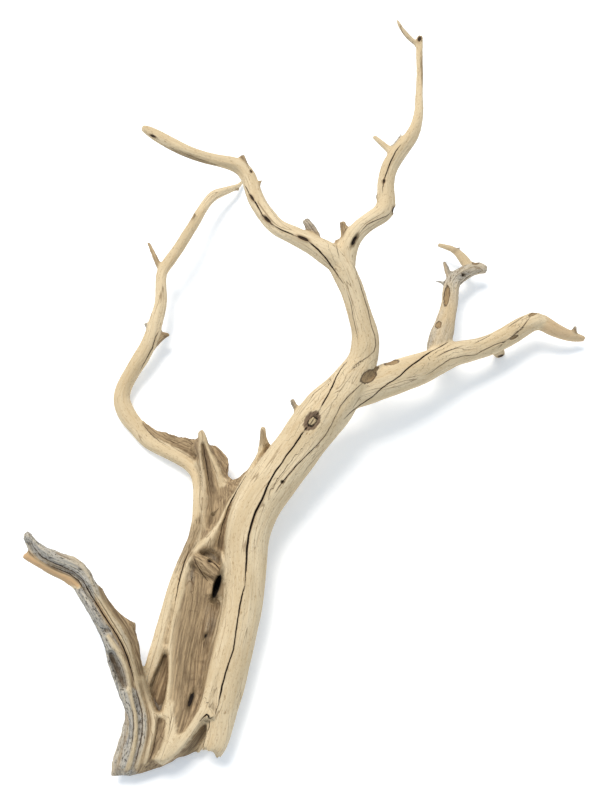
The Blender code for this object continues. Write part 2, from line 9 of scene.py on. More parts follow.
# %% Load the frame
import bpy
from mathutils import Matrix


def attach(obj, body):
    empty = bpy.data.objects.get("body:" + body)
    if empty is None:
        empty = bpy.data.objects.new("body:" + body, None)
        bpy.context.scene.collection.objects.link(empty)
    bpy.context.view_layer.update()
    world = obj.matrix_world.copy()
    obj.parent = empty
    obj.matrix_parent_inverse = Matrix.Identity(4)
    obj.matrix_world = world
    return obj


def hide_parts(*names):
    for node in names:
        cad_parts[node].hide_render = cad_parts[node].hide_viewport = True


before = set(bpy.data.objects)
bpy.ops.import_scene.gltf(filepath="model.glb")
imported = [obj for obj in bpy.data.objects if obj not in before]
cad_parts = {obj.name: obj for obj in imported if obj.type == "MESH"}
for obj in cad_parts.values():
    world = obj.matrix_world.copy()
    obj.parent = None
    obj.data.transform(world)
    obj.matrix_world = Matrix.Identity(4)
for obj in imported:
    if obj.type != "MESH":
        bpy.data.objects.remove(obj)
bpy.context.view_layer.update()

# %% Imports
import math

import bmesh
import bpy
import numpy as np
from mathutils import Vector
from mathutils.bvhtree import BVHTree
from mathutils.geometry import delaunay_2d_cdt

# %% [markdown]
# ## The eye
#
# The photograph looks down on the wood from the front. The same eye is used twice: as Blender's
# camera, and to turn a seen place with a height into a point in space, as the solid's source does.

# %% The eye
PICTURE = np.array([600.0, 800.0])
SEEN_ANGLE = math.radians(46.0)
EYE_TILT = math.radians(65.0)
EYE_DISTANCE = 0.80
BOX_MIDDLE = np.array([0.0239, -0.0175, 0.0])
FOCUS = PICTURE[1] / 2 / math.tan(SEEN_ANGLE / 2)
AHEAD = np.array([0.0, math.cos(EYE_TILT), -math.sin(EYE_TILT)])
UPWARD = np.array([0.0, math.sin(EYE_TILT), math.cos(EYE_TILT)])
SIDEWAYS = np.array([1.0, 0.0, 0.0])
EYE = -EYE_DISTANCE * AHEAD - BOX_MIDDLE
print("eye stands at", EYE.round(3), "focus in pixels", round(FOCUS, 1))


def unit(vectors):
    """Each vector divided by its own length."""
    return vectors / np.linalg.norm(vectors, axis=-1, keepdims=True)


def sight(seen):
    """Direction from the eye through each seen place: ahead + across/focus + rise/focus."""
    offset = (np.asarray(seen, float) - PICTURE / 2) / FOCUS
    return AHEAD + offset[..., :1] * SIDEWAYS - offset[..., 1:2] * UPWARD


def seen_place(seen, height_mm):
    """The point on each sight line at a height: eye + sight * (height - eye height) / fall."""
    ray = sight(seen)
    reach = (np.asarray(height_mm, float) * 0.001 - EYE[2]) / ray[..., 2]
    return EYE + ray * reach[..., None]


# %% The camera
camera_data = bpy.data.cameras.new("photo_camera")
camera_data.sensor_fit = "VERTICAL"
camera_data.angle = SEEN_ANGLE
camera = bpy.data.objects.new("photo_camera", camera_data)
camera.location = EYE
camera.rotation_euler = (math.pi / 2 - EYE_TILT, 0.0, 0.0)
bpy.context.collection.objects.link(camera)
bpy.context.scene.camera = camera
print("camera tilt from straight down", round(math.degrees(camera.rotation_euler.x), 1))

# %% [markdown]
# ## The routes
#
# A route is a list of points: seen across, seen down, height of the wood's middle in
# millimetres and its radius in millimetres. They are the same routes that the solid's source has.

# %% Routes of the thick strands and the limbs
TRUNK = [
    (212, 752, 16, 7), (214, 747, 17, 8.2), (217.5, 740, 17.5, 8.4), (220, 730, 18, 8.9),
    (221, 717, 18.5, 10.4), (222.7, 700, 19, 12.6), (226.3, 680, 20, 14), (232.5, 650, 22, 14.8),
    (239.5, 620, 24, 14.9), (243.3, 600, 25, 15.2), (245, 580, 26, 15.8), (246, 560, 27, 16.3),
    (247, 540, 29, 17), (251, 520, 31, 18), (260, 500, 33, 18.4), (272, 483, 36, 18.6), (286, 464, 39, 18.6),
    (301, 445, 42, 18.6), (315, 425, 45, 19.4), (329, 408, 49, 19.2),
    (344, 391, 53, 16), (354, 376, 58, 13.8),
    (363, 360, 63, 11.4), (365, 348, 68, 11), (365.5, 335, 72, 10.2), (361, 320, 78, 9.3),
    (356.5, 303, 84, 9), (351.5, 288, 90, 9.2), (345.5, 275, 95, 10), (339, 262, 99, 9.8),
]
LEFT_STRAND = [
    (146, 686, 19, 2.6), (147.5, 678, 20, 3.6), (150.5, 668, 21, 4.6), (155, 656, 22, 5.2),
    (159.5, 641, 23, 5.1), (163.5, 626, 24, 4.8), (167, 611, 24, 4.6), (171, 596, 25, 4.4),
    (175, 582, 25, 4.2), (181, 566, 25, 3.8), (187.5, 550, 24, 3.4), (193, 535, 24, 3.2),
    (196, 520, 23, 3.2), (197, 500, 22, 3.4), (197.5, 484, 19, 3.8), (194, 471, 16, 4.4),
    (187, 463, 13, 4.8), (173, 455, 11, 5.2), (160, 448, 9, 5.8), (148, 440, 7, 6.4),
    (138, 428, 6, 7), (127.5, 415, 6.5, 7.4), (121.5, 401, 9, 6.9), (124, 387, 11, 6.6),
    (132.5, 371, 14, 6.7), (141, 358, 17, 7), (148.5, 345, 20, 6.6), (153, 332, 23, 6.2),
    (156, 320, 25, 5.6), (159.5, 308, 27, 5), (161, 297, 28, 4.9), (161, 284, 30, 4.8),
    (162, 272, 31, 4.9), (169, 262, 32, 5), (177.5, 250, 33, 4.8), (185.5, 237, 33, 4.7),
    (193.5, 224, 32, 4.6), (201.5, 211, 29, 4.4), (208, 201, 26, 4.5), (214, 195.5, 23, 4.4),
    (222, 192, 18, 3.8), (231, 189, 13, 3.2), (238, 186, 8, 2.5), (242, 182, 4, 1.6),
]
LEFT_BOUGH = [
    (345, 274, 96, 7), (336, 260, 101, 9.4), (325, 252, 105, 9), (313, 245, 107, 7.8),
    (300, 238.5, 109, 7), (288, 233, 110, 6.6), (278, 228, 111, 6.4), (269.5, 219, 112, 6.5),
    (261, 208, 113, 6.2), (255, 197, 114, 6.2), (251.5, 185, 115, 6), (247, 174, 117, 6.2),
    (240, 166.5, 119, 6), (230, 163, 121, 5.6), (215, 160, 123, 5), (200, 156, 126, 5),
    (185, 150.5, 129, 5), (170, 143, 132, 5.2), (157, 136, 135, 4.9), (149, 131, 137, 4),
    (142.5, 128, 139, 2.6),
]
RIGHT_BOUGH = [
    (346, 264, 98, 7.4), (347, 251, 103, 8.2), (351, 240, 106, 7.8), (358.5, 230, 109, 7.4),
    (367, 223, 111, 7), (377, 217, 113, 7.2), (385.5, 210, 115, 8), (386.5, 199, 117, 7.2),
    (385.5, 188, 120, 7), (386.5, 177, 123, 6.7), (389.5, 166, 126, 6.7), (396, 156, 129, 6.7),
    (404, 146, 132, 6.3), (411.5, 136, 135, 5.6), (416.5, 125, 138, 4.6), (419, 112, 141, 3.8),
    (419, 99, 144, 3.4), (419.5, 85, 147, 3), (419.5, 70, 150, 2.8), (419.5, 55, 153, 2.9),
    (419.5, 45, 155, 3), (420, 36, 157, 2.2),
]
TOP_TWIG = [
    (419, 47, 155, 2), (415, 42, 156, 2.3), (410, 39, 158, 2.3), (405, 33, 160, 2.1),
    (400, 27, 162, 1.9), (397, 20, 164, 1.3),
]
RIGHT_BRANCH = [
    (350, 394, 49, 13), (366, 388, 49, 13.5), (380, 383, 48, 13.7), (400, 375.5, 46, 13.7),
    (420, 369, 43, 12.7), (438, 361, 40, 11.4), (455, 353.5, 37, 10), (470, 350.5, 34, 9),
    (484, 347, 31, 8.3), (497, 341.5, 29, 8.6), (509, 335, 28, 8.6), (520, 328, 28, 8.4),
    (530, 322.5, 28, 8.2), (538, 320, 28, 7.7),
]
RIGHT_TIP = [
    (533, 320, 28, 7.7), (540, 321.5, 27, 7.6), (548, 326, 25, 6.5), (557, 331, 22, 6),
    (566, 334.5, 18, 5.2), (574, 336.5, 15, 4.4), (580, 338, 12, 3.4), (584.5, 339, 11, 2.2),
]
FOOT = [(494, 344, 26, 6.5), (497, 349, 14, 6), (499, 352.5, 4, 4.8), (499.5, 353.5, -3, 4)]
SIDE_BRANCH = [
    (436, 354, 37, 8.5), (440, 341, 37, 10), (444, 328, 36, 9), (447, 316, 33, 7.7),
    (449.5, 306, 31, 7), (450.5, 295, 29, 6.8), (451.5, 285, 27, 6.7), (456.5, 278, 25, 6.4),
    (465, 272.5, 23, 6), (473, 269, 21, 5.6), (480, 268, 19, 5.2), (486.5, 270, 18, 3.6),
]
SIDE_TWIG = [
    (470, 268, 21, 4.6), (464, 260, 20, 4.3), (458, 253, 19, 3.4), (452, 249, 18, 2.7),
    (445, 247, 17, 2.3), (438, 245, 16, 1.8),
]

# %% The wide flat wood under the torn base
BELLY = [
    (150, 742, 8, 18), (160, 732, 6.5, 22), (169, 716, 6.3, 24), (177, 690, 8, 25),
    (187, 660, 10, 26), (196, 630, 11, 26), (205, 600, 12, 25), (212, 570, 13, 22),
    (216, 540, 14, 20), (220, 510, 16, 17), (226, 490, 18, 12), (233, 480, 21, 6),
]

# %% [markdown]
# ## The torn base and the horn
#
# Where the wood tore, it has no round limbs but sharp ridges with hollows between them. Tubes would
# look like rope there. So these two parts are drawn as a map: an edge, and ridge and valley lines
# with heights, which Blender's constrained Delaunay tool joins into a net.

# %% The edge of the torn wood: seen across, seen down, height mm
TORN_EDGE = [
    (275, 447, 34), (270, 462, 30), (262, 476, 28), (254, 490, 24), (246, 530, 22), (243, 570, 20),
    (240, 605, 18), (234, 645, 18), (228, 680, 17), (223, 705, 16), (220, 725, 14), (214, 740, 12),
    (208, 746, 11), (200, 753, 10), (194, 753, 10), (186, 757, 10), (178, 758, 11), (166, 764, 12),
    (160, 768, 12), (150, 771, 12), (140, 774, 12), (126, 777, 12), (110, 777, 12), (111, 764, 14),
    (115, 750, 16), (120, 736, 19), (124.5, 720, 25), (124.5, 710, 31), (120, 698, 36), (113, 680, 41),
    (107.5, 662, 46), (105, 650, 49), (101, 638, 52), (96, 627.5, 54), (90, 617, 56), (81, 602, 59),
    (74, 590, 61), (67.5, 585, 62), (60, 580, 63), (47.5, 574, 64), (37.5, 567.5, 66), (29, 562.5, 68),
    (21, 557.5, 70), (24, 553, 73), (26.5, 551.5, 74), (24.5, 546, 77), (22, 538, 80), (24, 532, 82),
    (27.5, 530, 83), (31.5, 533.5, 82), (38, 541, 80), (47.5, 547, 78), (50.5, 544.5, 78), (52, 548, 78),
    (61, 552, 76), (75, 555.5, 73), (85, 563, 71), (91.5, 571, 68), (96.5, 582, 64), (101.5, 585, 58),
    (104.5, 592.5, 55), (110, 601, 52), (120, 612.5, 48), (130, 619.5, 45), (136.5, 622, 43),
    (136, 632, 42), (139, 643, 41), (140.5, 660, 38), (143.5, 672, 32), (147, 684, 24), (149.5, 668, 18),
    (157, 645, 19), (165, 615, 20), (171, 592, 20), (179, 568, 20), (187, 548, 20), (194, 528, 19),
    (196, 505, 18), (196, 487, 15), (190, 474, 12), (178, 462, 10), (160, 453, 9), (147, 441, 9),
    (139, 428, 9), (142, 418.5, 12), (150, 425, 13), (157, 430, 13), (166, 431, 14), (176, 434.5, 15),
    (186, 436, 16), (196, 437.5, 21), (197.3, 433, 33), (199.5, 429.5, 36), (203.5, 429.5, 36),
    (206, 435, 32), (209, 443.5, 24), (216, 444.5, 21), (222.5, 450.5, 20), (228.5, 458, 20),
    (229, 467, 20), (228, 475, 22), (229.5, 480, 25), (239, 477, 29), (247, 470, 32), (253, 461, 34),
    (257.5, 452, 36), (259.3, 440, 38), (260, 430, 40), (261.5, 425.5, 41), (265.5, 426.5, 41),
    (266.5, 436, 40), (269, 442, 38),
]

# %% Ridge and valley lines of the base: grain line, brown (above 1 also painted shade), grey or below 0 tan, points
TORN_LINES = {
    "crest_ridge": ("hollow_grain", 0.05, 0, [
        (262.8, 430, 43), (263.2, 440, 42), (261.5, 449, 41), (257, 457, 40), (252, 465, 39), (247, 474, 38),
        (241, 484, 37), (235.5, 493, 36), (229, 503, 35), (224, 514, 34.5), (219, 525, 34), (212, 534, 34),
        (204, 542, 33.5), (196, 549, 33), (190, 557, 33), (186, 566, 32.5), (182, 578, 32), (179, 590, 32),
        (175.5, 604, 31.5), (172.5, 618, 31), (170, 634, 30.5), (168.7, 650, 30), (169, 666, 29.5),
        (168, 682, 29), (165.5, 700, 28), (162.5, 714, 27),
    ]),
    "crest_groove": ("hollow_grain", 1.2, 0.3, [
        (197.5, 492, 17), (197.8, 508, 18), (196.5, 526, 19), (191.8, 542, 19), (187, 554, 19),
        (182, 568, 20), (178.3, 582, 20), (174.8, 597, 20), (171.3, 612, 20), (168.7, 628, 19),
        (166.6, 642, 18),
    ]),
    "trunk_groove": ("hollow_grain", 1.4, 0, [
        (267.5, 449, 35), (261.5, 459, 34), (255, 468, 33), (247.5, 478, 32), (240.5, 488, 31.5),
        (233, 500, 31), (227.5, 511, 30.5), (224, 523, 30), (221.5, 535, 29), (219.5, 546, 27),
    ]),
    "crest_shelf": ("hollow_grain", 0.55, 0, [
        (222, 524, 31), (218, 534, 31.5), (212, 542, 32), (203, 546, 32),
    ]),
    "hollow_rim": ("hollow_grain", 0.7, 0, [
        (190, 563, 31), (194, 555, 31.5), (200, 550, 32), (208, 548, 31), (215, 550, 29), (219, 553, 26),
    ]),
    "hollow_top": ("hollow_grain", 0.65, 0.5, [
        (195, 566, 26), (199.5, 558, 25), (206, 554.5, 24), (213, 556, 23), (219, 561, 21),
    ]),
    "slope_left": ("hollow_grain", 0.75, 0, [
        (182, 622, 28.4), (178.5, 642, 28), (177, 664, 28), (177.3, 684, 28), (178.5, 702, 28),
        (178, 720, 28),
    ]),
    "floor_middle": ("hollow_grain", 0.75, 0.2, [
        (203, 578, 24), (201, 600, 23.5), (196, 626, 23), (191, 650, 22.5), (188, 674, 22.5),
        (187, 698, 23), (185, 714, 25), (181, 728, 26.7),
    ]),
    "floor_right": ("hollow_grain", 1.0, 0.3, [
        (219, 604, 18), (214.5, 625, 18), (209, 648, 18), (204, 670, 19), (200.5, 690, 21), (196.5, 706, 24),
        (189, 719, 26), (181.5, 731, 27),
    ]),
    "rim_and_lip": ("lip_grain", 0.0, 0, [
        (223.5, 563, 34), (228, 584, 34), (225, 604, 33.5), (220.5, 624, 33), (214.8, 646, 32.5),
        (209, 670, 32), (204.5, 692, 31.5), (200, 708, 31), (193, 720.5, 30.3), (186, 730.5, 29.6),
        (178.5, 740, 28.9), (171, 750, 28), (163, 761, 25.5),
    ]),
    "trunk_flank": ("lip_grain", 0.0, 0, [
        (232, 590, 36.5), (229, 608, 36), (225, 628, 35.5), (220, 650, 34.5), (214.5, 674, 33.5),
        (210.5, 694, 32.5), (209, 708, 31.5),
    ]),
    "lip_edge": ("lip_grain", 0.25, 0, [
        (214, 717, 32), (210.5, 717.5, 31.5), (207.3, 714.5, 31.3), (203.5, 716.5, 31), (199, 723, 30.5),
        (192.5, 733, 29.6), (185, 743, 28.6), (176, 753, 27), (168.5, 760, 24.5),
    ]),
    "channel_wall": ("hollow_grain", 1.0, 0.3, [
        (225, 585, 28), (223, 604, 28), (218.7, 624, 28), (213.1, 646, 28), (207.5, 669.5, 28),
        (203.2, 690.5, 28), (198.9, 706.8, 29), (191.8, 719.7, 29), (184.6, 730.2, 28.6),
    ]),
    "torn_cave": ("lip_grain", 1.3, 0, [
        (211, 722.5, 18), (206.3, 726, 17), (201, 732, 16),
        (195.3, 740, 15), (187.5, 749, 14), (180, 755, 14),
    ]),
    "apron_middle": ("hollow_grain", 0.0, 0, [
        (167.5, 706, 28.3), (170.5, 720, 28.6), (171, 734, 28.6), (166, 746, 27.6), (158, 759, 24.8),
    ]),
    "base_crack": ("hollow_grain", 1.3, 0, [
        (160, 721, 24), (157, 733, 24.5), (154, 745, 24), (150.5, 758, 22), (148, 767, 16),
    ]),
    "wedge_floor": ("hollow_grain", 1.7, 0.5, [
        (164.3, 657, 15), (159.5, 669, 12), (154, 681, 11),
        (153, 690, 11), (157.5, 701, 11), (160.3, 710, 13),
    ]),
    "wedge_right": ("hollow_grain", 1.8, 0.3, [
        (166.6, 656, 16), (166.6, 672, 13), (165, 688, 12), (162.3, 702, 12),
    ]),
    "inner_ridge": ("hollow_grain", 0.4, 0, [
        (201.5, 432, 37), (199.7, 441, 36), (199.8, 455, 34), (201.3, 468, 32.5), (204, 482, 31.5),
        (202.5, 494, 31), (201, 506, 31), (203, 519, 31), (205.5, 530, 32),
    ]),
    "right_ridge": ("hollow_grain", 0.2, 0, [
        (204.3, 435, 36), (207, 444, 34.5), (211, 455, 33),
        (216, 465.5, 32), (220.5, 475, 31), (223, 485, 29),
    ]),
    "spike_groove": ("hollow_grain", 1.4, 0, [
        (203.2, 446, 30), (206, 457, 27.5), (208.3, 468, 26.5), (210.3, 480, 26), (212, 490, 26),
    ]),
    "recess_floor": ("hollow_grain", 0.7, 0, [
        (213.5, 499, 25.5), (212, 510, 25.5), (210, 521, 26), (208, 529, 28),
    ]),
    "recess_top": ("hollow_grain", 1.1, 0, [
        (231, 484.5, 30), (224, 491, 28), (218, 498, 26.5),
    ]),
    "shoulder_middle": ("shoulder_grain", 1.0, 0, [
        (144, 424, 12.5), (153, 432, 13), (165, 439, 13), (178, 444, 13.5), (189, 449, 15), (196, 456, 18),
    ]),
    "strand_back": ("hollow_grain", 0.9, 0.3, [
        (191, 463, 15), (197, 471, 17), (199.5, 482, 20), (199, 493, 20),
    ]),
    "slope_upper": ("hollow_grain", 0.8, 0.35, [
        (189.5, 576, 29.5), (187, 592, 29.1), (184, 608, 28.7),
    ]),
    "rim_inner": ("hollow_grain", 0.6, 0, [
        (176.3, 617, 30), (174, 634, 29.5), (172.6, 650, 29), (172.8, 666, 28.6), (172, 682, 28.2),
        (170.5, 696, 28),
    ]),
    "recess_wall": ("hollow_grain", 0.95, 0, [
        (237.5, 482, 32), (231.5, 492, 31), (225.5, 501.5, 30), (220.5, 511.5, 29.5), (215.5, 521, 29.5),
        (209.5, 528.5, 30), (204.5, 534, 31.5),
    ]),
    "shoulder_right": ("shoulder_grain", 1.0, 0, [
        (212, 450, 23), (218, 456, 22), (222.5, 464, 22), (224.5, 474, 23),
    ]),
}

# %% Ridge and valley lines of the horn, which run on down into the base
HORN_LINES = {
    "horn_top": ("horn_grain", 0.15, 0.6, [
        (28.5, 535, 86), (38, 545.5, 85), (50, 551.5, 83), (62, 557, 80), (74, 561.5, 78), (83, 568, 75),
        (89.5, 577, 72), (94.5, 588, 69), (100, 600, 66), (107, 611, 63), (114, 622, 60), (121, 633, 57),
        (127, 645, 54), (131.5, 657, 51), (134.5, 670, 47),
        (137.5, 684, 42.5), (141, 698, 37), (144, 712, 32.5),
        (144.7, 727, 30), (143, 741, 28), (140, 755, 25), (136, 768, 21),
    ]),
    "horn_speckled": ("horn_grain", 0.2, 1.0, [
        (31, 541, 82), (38, 550, 81), (49, 558, 79.5), (61, 563, 77), (73, 568, 75), (81, 574, 73),
        (87, 583, 70.5),
    ]),
    "horn_groove": ("horn_grain", 1.2, 0.8, [
        (29.5, 543, 76), (33, 549.5, 74), (39, 557, 72.5), (48, 564.5, 70.5), (60, 570, 68.5),
        (72, 574.5, 66.5), (80, 580, 65), (85.5, 588, 63.5), (90.5, 597, 62), (96.5, 608, 60),
        (103.5, 619, 58), (110.5, 631, 55.5), (117, 642, 53.5), (123, 652.5, 51.5), (127.7, 664, 48.5),
        (131.3, 678, 44), (134.3, 693, 38), (138, 709, 31), (140.3, 725, 27.7), (139, 741, 26),
        (135.5, 757, 23), (131.7, 771, 17),
    ]),
    "jaw": ("horn_grain", 0.15, -1.0, [
        (25, 557, 74), (34, 562, 73), (46, 568, 71), (58, 574, 69.5), (70, 579.5, 68), (77, 585, 66.5),
    ]),
    "horn_outer": ("horn_grain", 0.1, 1.0, [
        (76, 591, 64.5), (84, 603, 62.5), (91, 615, 60.5), (97.5, 626, 58), (103, 637, 55.5), (107, 650, 52),
        (110, 664, 48.5), (116, 681, 44.5), (122.5, 695, 41),
        (127.5, 707, 37), (131, 720, 34), (131, 735, 31.5),
        (127.5, 750, 28.5), (122.5, 766, 22),
    ]),
    "horn_grey_ridge": ("horn_grain", 0.2, 0.9, [
        (81, 590, 67), (88, 602, 65.5), (94.5, 613, 64), (101.5, 625, 62),
    ]),
    "horn_yellow": ("horn_grain", 0.1, 0.3, [
        (108, 636.5, 59.5), (114.5, 646, 57.5),
        (120.5, 656, 55), (125, 666, 51.5), (127.8, 677, 47.5), (130, 689, 43.5), (133, 701, 38.5),
        (136, 714, 34), (137, 728, 31.5), (135.5, 742, 29.5), (132.5, 756, 26.5), (128.5, 769, 21),
    ]),
    "horn_red": ("horn_grain", 0.45, -0.8, [
        (97.5, 603, 63.5), (104.5, 614, 61.5), (111.5, 626, 59), (118, 637, 56.5), (124, 648, 54),
        (128.8, 659, 50.5), (132, 671, 47), (135, 685, 42),
    ]),
    "horn_plate": ("horn_grain", 1.1, 0, [
        (102.5, 593, 57), (110, 606, 54), (118, 616.5, 50.5), (127, 627, 47), (132, 640, 45), (136, 654, 42),
        (139, 667, 39),
    ]),
    "outer_band": ("horn_grain", 0.2, 0, [
        (143.5, 683, 36), (147, 695, 32), (151.5, 708, 30.5), (155, 720, 29.5), (152.8, 735, 28.3),
        (149, 749, 26.5), (145, 763, 22),
    ]),
    "outer_groove": ("horn_grain", 0.8, 0.1, [
        (140.5, 685, 38), (144, 698, 33), (148, 711, 29.5), (149.2, 724, 27.7), (147.5, 738, 26.2),
        (144, 753, 24), (140, 767, 18.5),
    ]),
    "grey_groove": ("horn_grain", 0.8, 0.5, [
        (127.5, 718, 31), (127, 732, 28.5), (123, 748, 26), (118, 765, 20),
    ]),
    "left_band": ("horn_grain", 0.2, 0.7, [(124, 728, 26.5), (119.5, 744, 24), (114.5, 762, 20)]),
    "horn_cave": ("horn_grain", 1.9, 0.5, [
        (108.5, 653.5, 44), (112, 660, 41), (116, 668.5, 38.5), (120, 677, 37), (123.8, 685, 37.5),
    ]),
}
LINES = {**TORN_LINES, **HORN_LINES}
LINE_RADIUS = 1.6
# The torn wood's fibres run side by side along these few lines
GRAIN_LINES = {
    "hollow_grain": [
        (203, 430, 37), (207, 470, 31), (212, 500, 27), (210, 530, 30), (206, 560, 27), (202, 600, 24),
        (193, 650, 23), (187, 700, 24), (178, 735, 27), (162, 770, 22),
    ],
    "lip_grain": [
        (226, 560, 35), (228, 600, 34), (217, 646, 33), (206, 692, 32), (193, 722, 30), (163, 763, 26),
    ],
    "shoulder_grain": [(139, 414, 12), (165, 437, 13), (200, 452, 20), (226, 480, 24)],
    "horn_grain": HORN_LINES["horn_groove"][3],
}

# %% Routes of the small stubs, pegs and teeth, and of the holes
KNOT_BLOCK = [
    (193, 555, 32, 2.8), (200, 561, 30, 5), (208, 567, 28, 6.6), (215, 573, 26, 6), (219, 577, 25, 4),
]
# Three holes in the torn wood, each cut by a strand as deep as this many radii
HOLE_FLATNESS = 4.0
HOLES = {
    "knot_hole": [(220.5, 574, 25, 1.2), (218, 581, 24, 2.4), (215.7, 588, 24, 2.4), (213.5, 598, 24, 1.0)],
    "middle_hole": [(206.8, 629, 24, 0.8), (205.6, 633.5, 24, 1.7), (204.4, 638.5, 24, 0.8)],
    "lower_hole": [(193.3, 692.5, 26, 0.9), (191, 699, 26, 1.8), (189, 705.5, 26, 0.9)],
}
# name: (brown, grey or below 0 tan, route)
STUBS = {
    "trunk_peg": (0.75, 0.65, [(301, 418, 46, 2.8), (296, 410, 50, 2.4), (292, 399, 54, 1.9)]),
    "bough_stub": (0.85, 0.65, [
        (317, 238, 107, 4.2), (312, 230, 109, 4.2), (307.5, 224, 111, 4), (305, 219.5, 113, 3),
    ]),
    "bough_cap": (1.2, 0, [(245, 168, 119, 3.6), (243.5, 161, 121, 3), (242, 155, 123, 2.2)]),
    "bough_thorn": (0.8, 0, [(257, 190, 115, 2.2), (259.5, 185, 117, 1.7), (261.5, 179.5, 119, 1.2)]),
    "fork_stub": (1, 0, [(345, 237, 108, 3.4), (343.5, 228, 110, 2.6), (342.5, 221.5, 112, 2.6)]),
    "fork_peg": (0.7, 0, [(339, 243, 104, 3.6), (336, 240, 106, 2.4)]),
    "right_spur": (0.1, 0, [
        (393, 154, 129, 3.6), (387, 148, 130, 2.9), (380, 142, 132, 2.3), (373.5, 136, 134, 1.7),
    ]),
    "right_tooth": (0.65, 0.9, [
        (394, 150, 130, 3.6), (397, 145, 131, 3.2), (400, 139, 132, 2.1), (401, 133, 133, 1),
    ]),
    "right_peg": (0.6, 0.8, [(379, 197, 118, 2.4), (375.5, 195.5, 119, 1.6)]),
    "right_knob": (1.1, 0, [(389, 209, 115, 3.2), (395, 208, 115, 2.4)]),
    "side_peg": (1.1, 0.9, [(456, 251, 19, 2), (460, 247, 20, 1)]),
    "side_spur": (0.65, 0.55, [
        (451, 281, 26, 3.3), (448, 273, 27, 2.7), (446, 267, 28, 2), (444, 262, 29, 1.4),
    ]),
    "side_thorn": (0.7, 1.1, [(447, 284, 26, 2.4), (441, 282, 26, 1.6), (435, 281, 26, 0.9)]),
    "tip_peg": (1.1, 0.6, [(574, 332, 17, 2.8), (575.5, 326, 19, 1.6)]),
    "left_twig": (0.65, 0, [
        (161, 270, 31, 3), (157, 262, 32, 2.5), (153.5, 254, 33, 2),
        (150.5, 247, 34, 1.6), (148.5, 242.5, 35, 1.3),
    ]),
    "left_peg": (0.65, 0.7, [(152, 333, 24, 2.4), (147.5, 327, 25, 1.9), (144.5, 323, 26, 1.5)]),
    "left_tooth": (1.2, 0, [
        (151, 350, 17, 2.4), (156, 341, 18, 4), (161, 335, 18, 4.4),
        (166, 334.5, 18, 2.8), (170, 335, 18, 1.2),
    ]),
    "left_sliver": (0.8, 0, [(188, 229, 34, 1.7), (192, 220, 36, 1.4), (195, 212, 38, 0.9)]),
    "left_knob": (1.2, 0.6, [(234, 189, 11, 1.7), (239, 190, 7, 1.4)]),
}

print("limb routes,", len(STUBS), "stubs and", len(LINES), "ridge and valley lines")

# %% [markdown]
# ## From a route to a skin
#
# A limb could be a bevelled curve, but then its section stays a circle. Here each route becomes
# rings of points worked out at once: an even spacing along the route, a pair of directions across
# it, and a radius that swells and dips round the ring, because real wood is never quite round.

# %% Even, smoothed steps along a route
STEPS_PER_KNOT = 12
STEP = 0.0012
FEWEST_STEPS = 6
# How many steps wide the averaging bell is, and the radius that no limb falls below
ROUTE_SOFTNESS = 3.0
SMALLEST_RADIUS = 0.0006


def catmull_rom(knots, steps):
    """A curve through the knots: a cubic between two of them, whose slopes come from their neighbours."""
    padded = np.vstack([2 * knots[0] - knots[1], knots, 2 * knots[-1] - knots[-2]])
    before, start, end, after = (padded[shift:len(padded) - 3 + shift, None] for shift in range(4))
    t = np.linspace(0, 1, steps, endpoint=False)[None, :, None]
    curve = 0.5 * (
        2 * start + (end - before) * t + (2 * before - 5 * start + 4 * end - after) * t ** 2
        + (3 * start - before - 3 * end + after) * t ** 3
    )
    return np.vstack([curve.reshape(-1, knots.shape[1]), knots[-1:]])


def reach_along(points):
    """How far along a line each of its points lies: the running sum of the gaps."""
    gaps = np.linalg.norm(np.diff(points, axis=0), axis=1)
    return np.concatenate([[0.0], np.cumsum(gaps)])


def read_at(along, reach, columns):
    """Every column of a table read at these distances along it."""
    return np.column_stack([np.interp(along, reach, column) for column in columns.T])


def route_path(route):
    """Even steps along a route: a Catmull-Rom curve through its points, averaged over a few steps."""
    table = np.array(route, float)
    knots = np.column_stack([seen_place(table[:, :2], table[:, 2]), table[:, 3] * 0.001])
    curve = catmull_rom(knots, STEPS_PER_KNOT)
    reach = reach_along(curve[:, :3])
    along = np.linspace(0, reach[-1], max(FEWEST_STEPS, int(reach[-1] / STEP)))
    return along, soft_ends(read_at(along, reach, curve))


def soft_ends(path):
    """Average each step with its neighbours (a bell of weights), mirrored past both ends."""
    reach = min(int(3 * ROUTE_SOFTNESS), len(path) - 1)
    offsets = np.arange(-reach, reach + 1)
    bell = np.exp(-0.5 * (offsets / ROUTE_SOFTNESS) ** 2)
    bell /= bell.sum()
    head = 2 * path[0] - path[reach:0:-1]
    tail = 2 * path[-1] - path[-2:-reach - 2:-1]
    long = np.vstack([head, path, tail])
    soft = np.column_stack([np.convolve(column, bell, mode="valid") for column in long.T])
    soft[:, 3] = np.maximum(soft[:, 3], SMALLEST_RADIUS)
    return soft


def path_frames(points):
    """Directions at each step: along the path, across it as seen by the eye, and towards the eye."""
    forward = unit(np.gradient(points, axis=0))
    across = unit(np.cross(forward, -AHEAD))
    return forward, across, np.cross(across, forward)


# %% The swept skin
RING = 40
# Swells come this often along a limb, and flutes, which are narrower, run on for longer
SWELL_LENGTH = 0.030
FLUTE_LENGTH = 0.060
# A broken end's jags: how high they are and how far from the end they begin
JAG = 0.004
JAG_START = 0.006


def waves(seed, *coordinates, octaves=3):
    """A wavy field from about -1 to 1: sines of sums of the coordinates, finer and weaker each time."""
    dice = np.random.default_rng(seed)
    total = 0.0
    weight = 0.0
    for octave in range(octaves):
        for _ in range(3):
            slopes = dice.normal(0, 1.0, len(coordinates)) * 1.9 ** octave
            phase = dice.uniform(0, 2 * math.pi)
            mix = sum(slope * value for slope, value in zip(slopes, coordinates))
            total = total + 0.6 ** octave * np.sin(mix + phase)
            weight += 0.6 ** octave
    return total / weight * 1.6


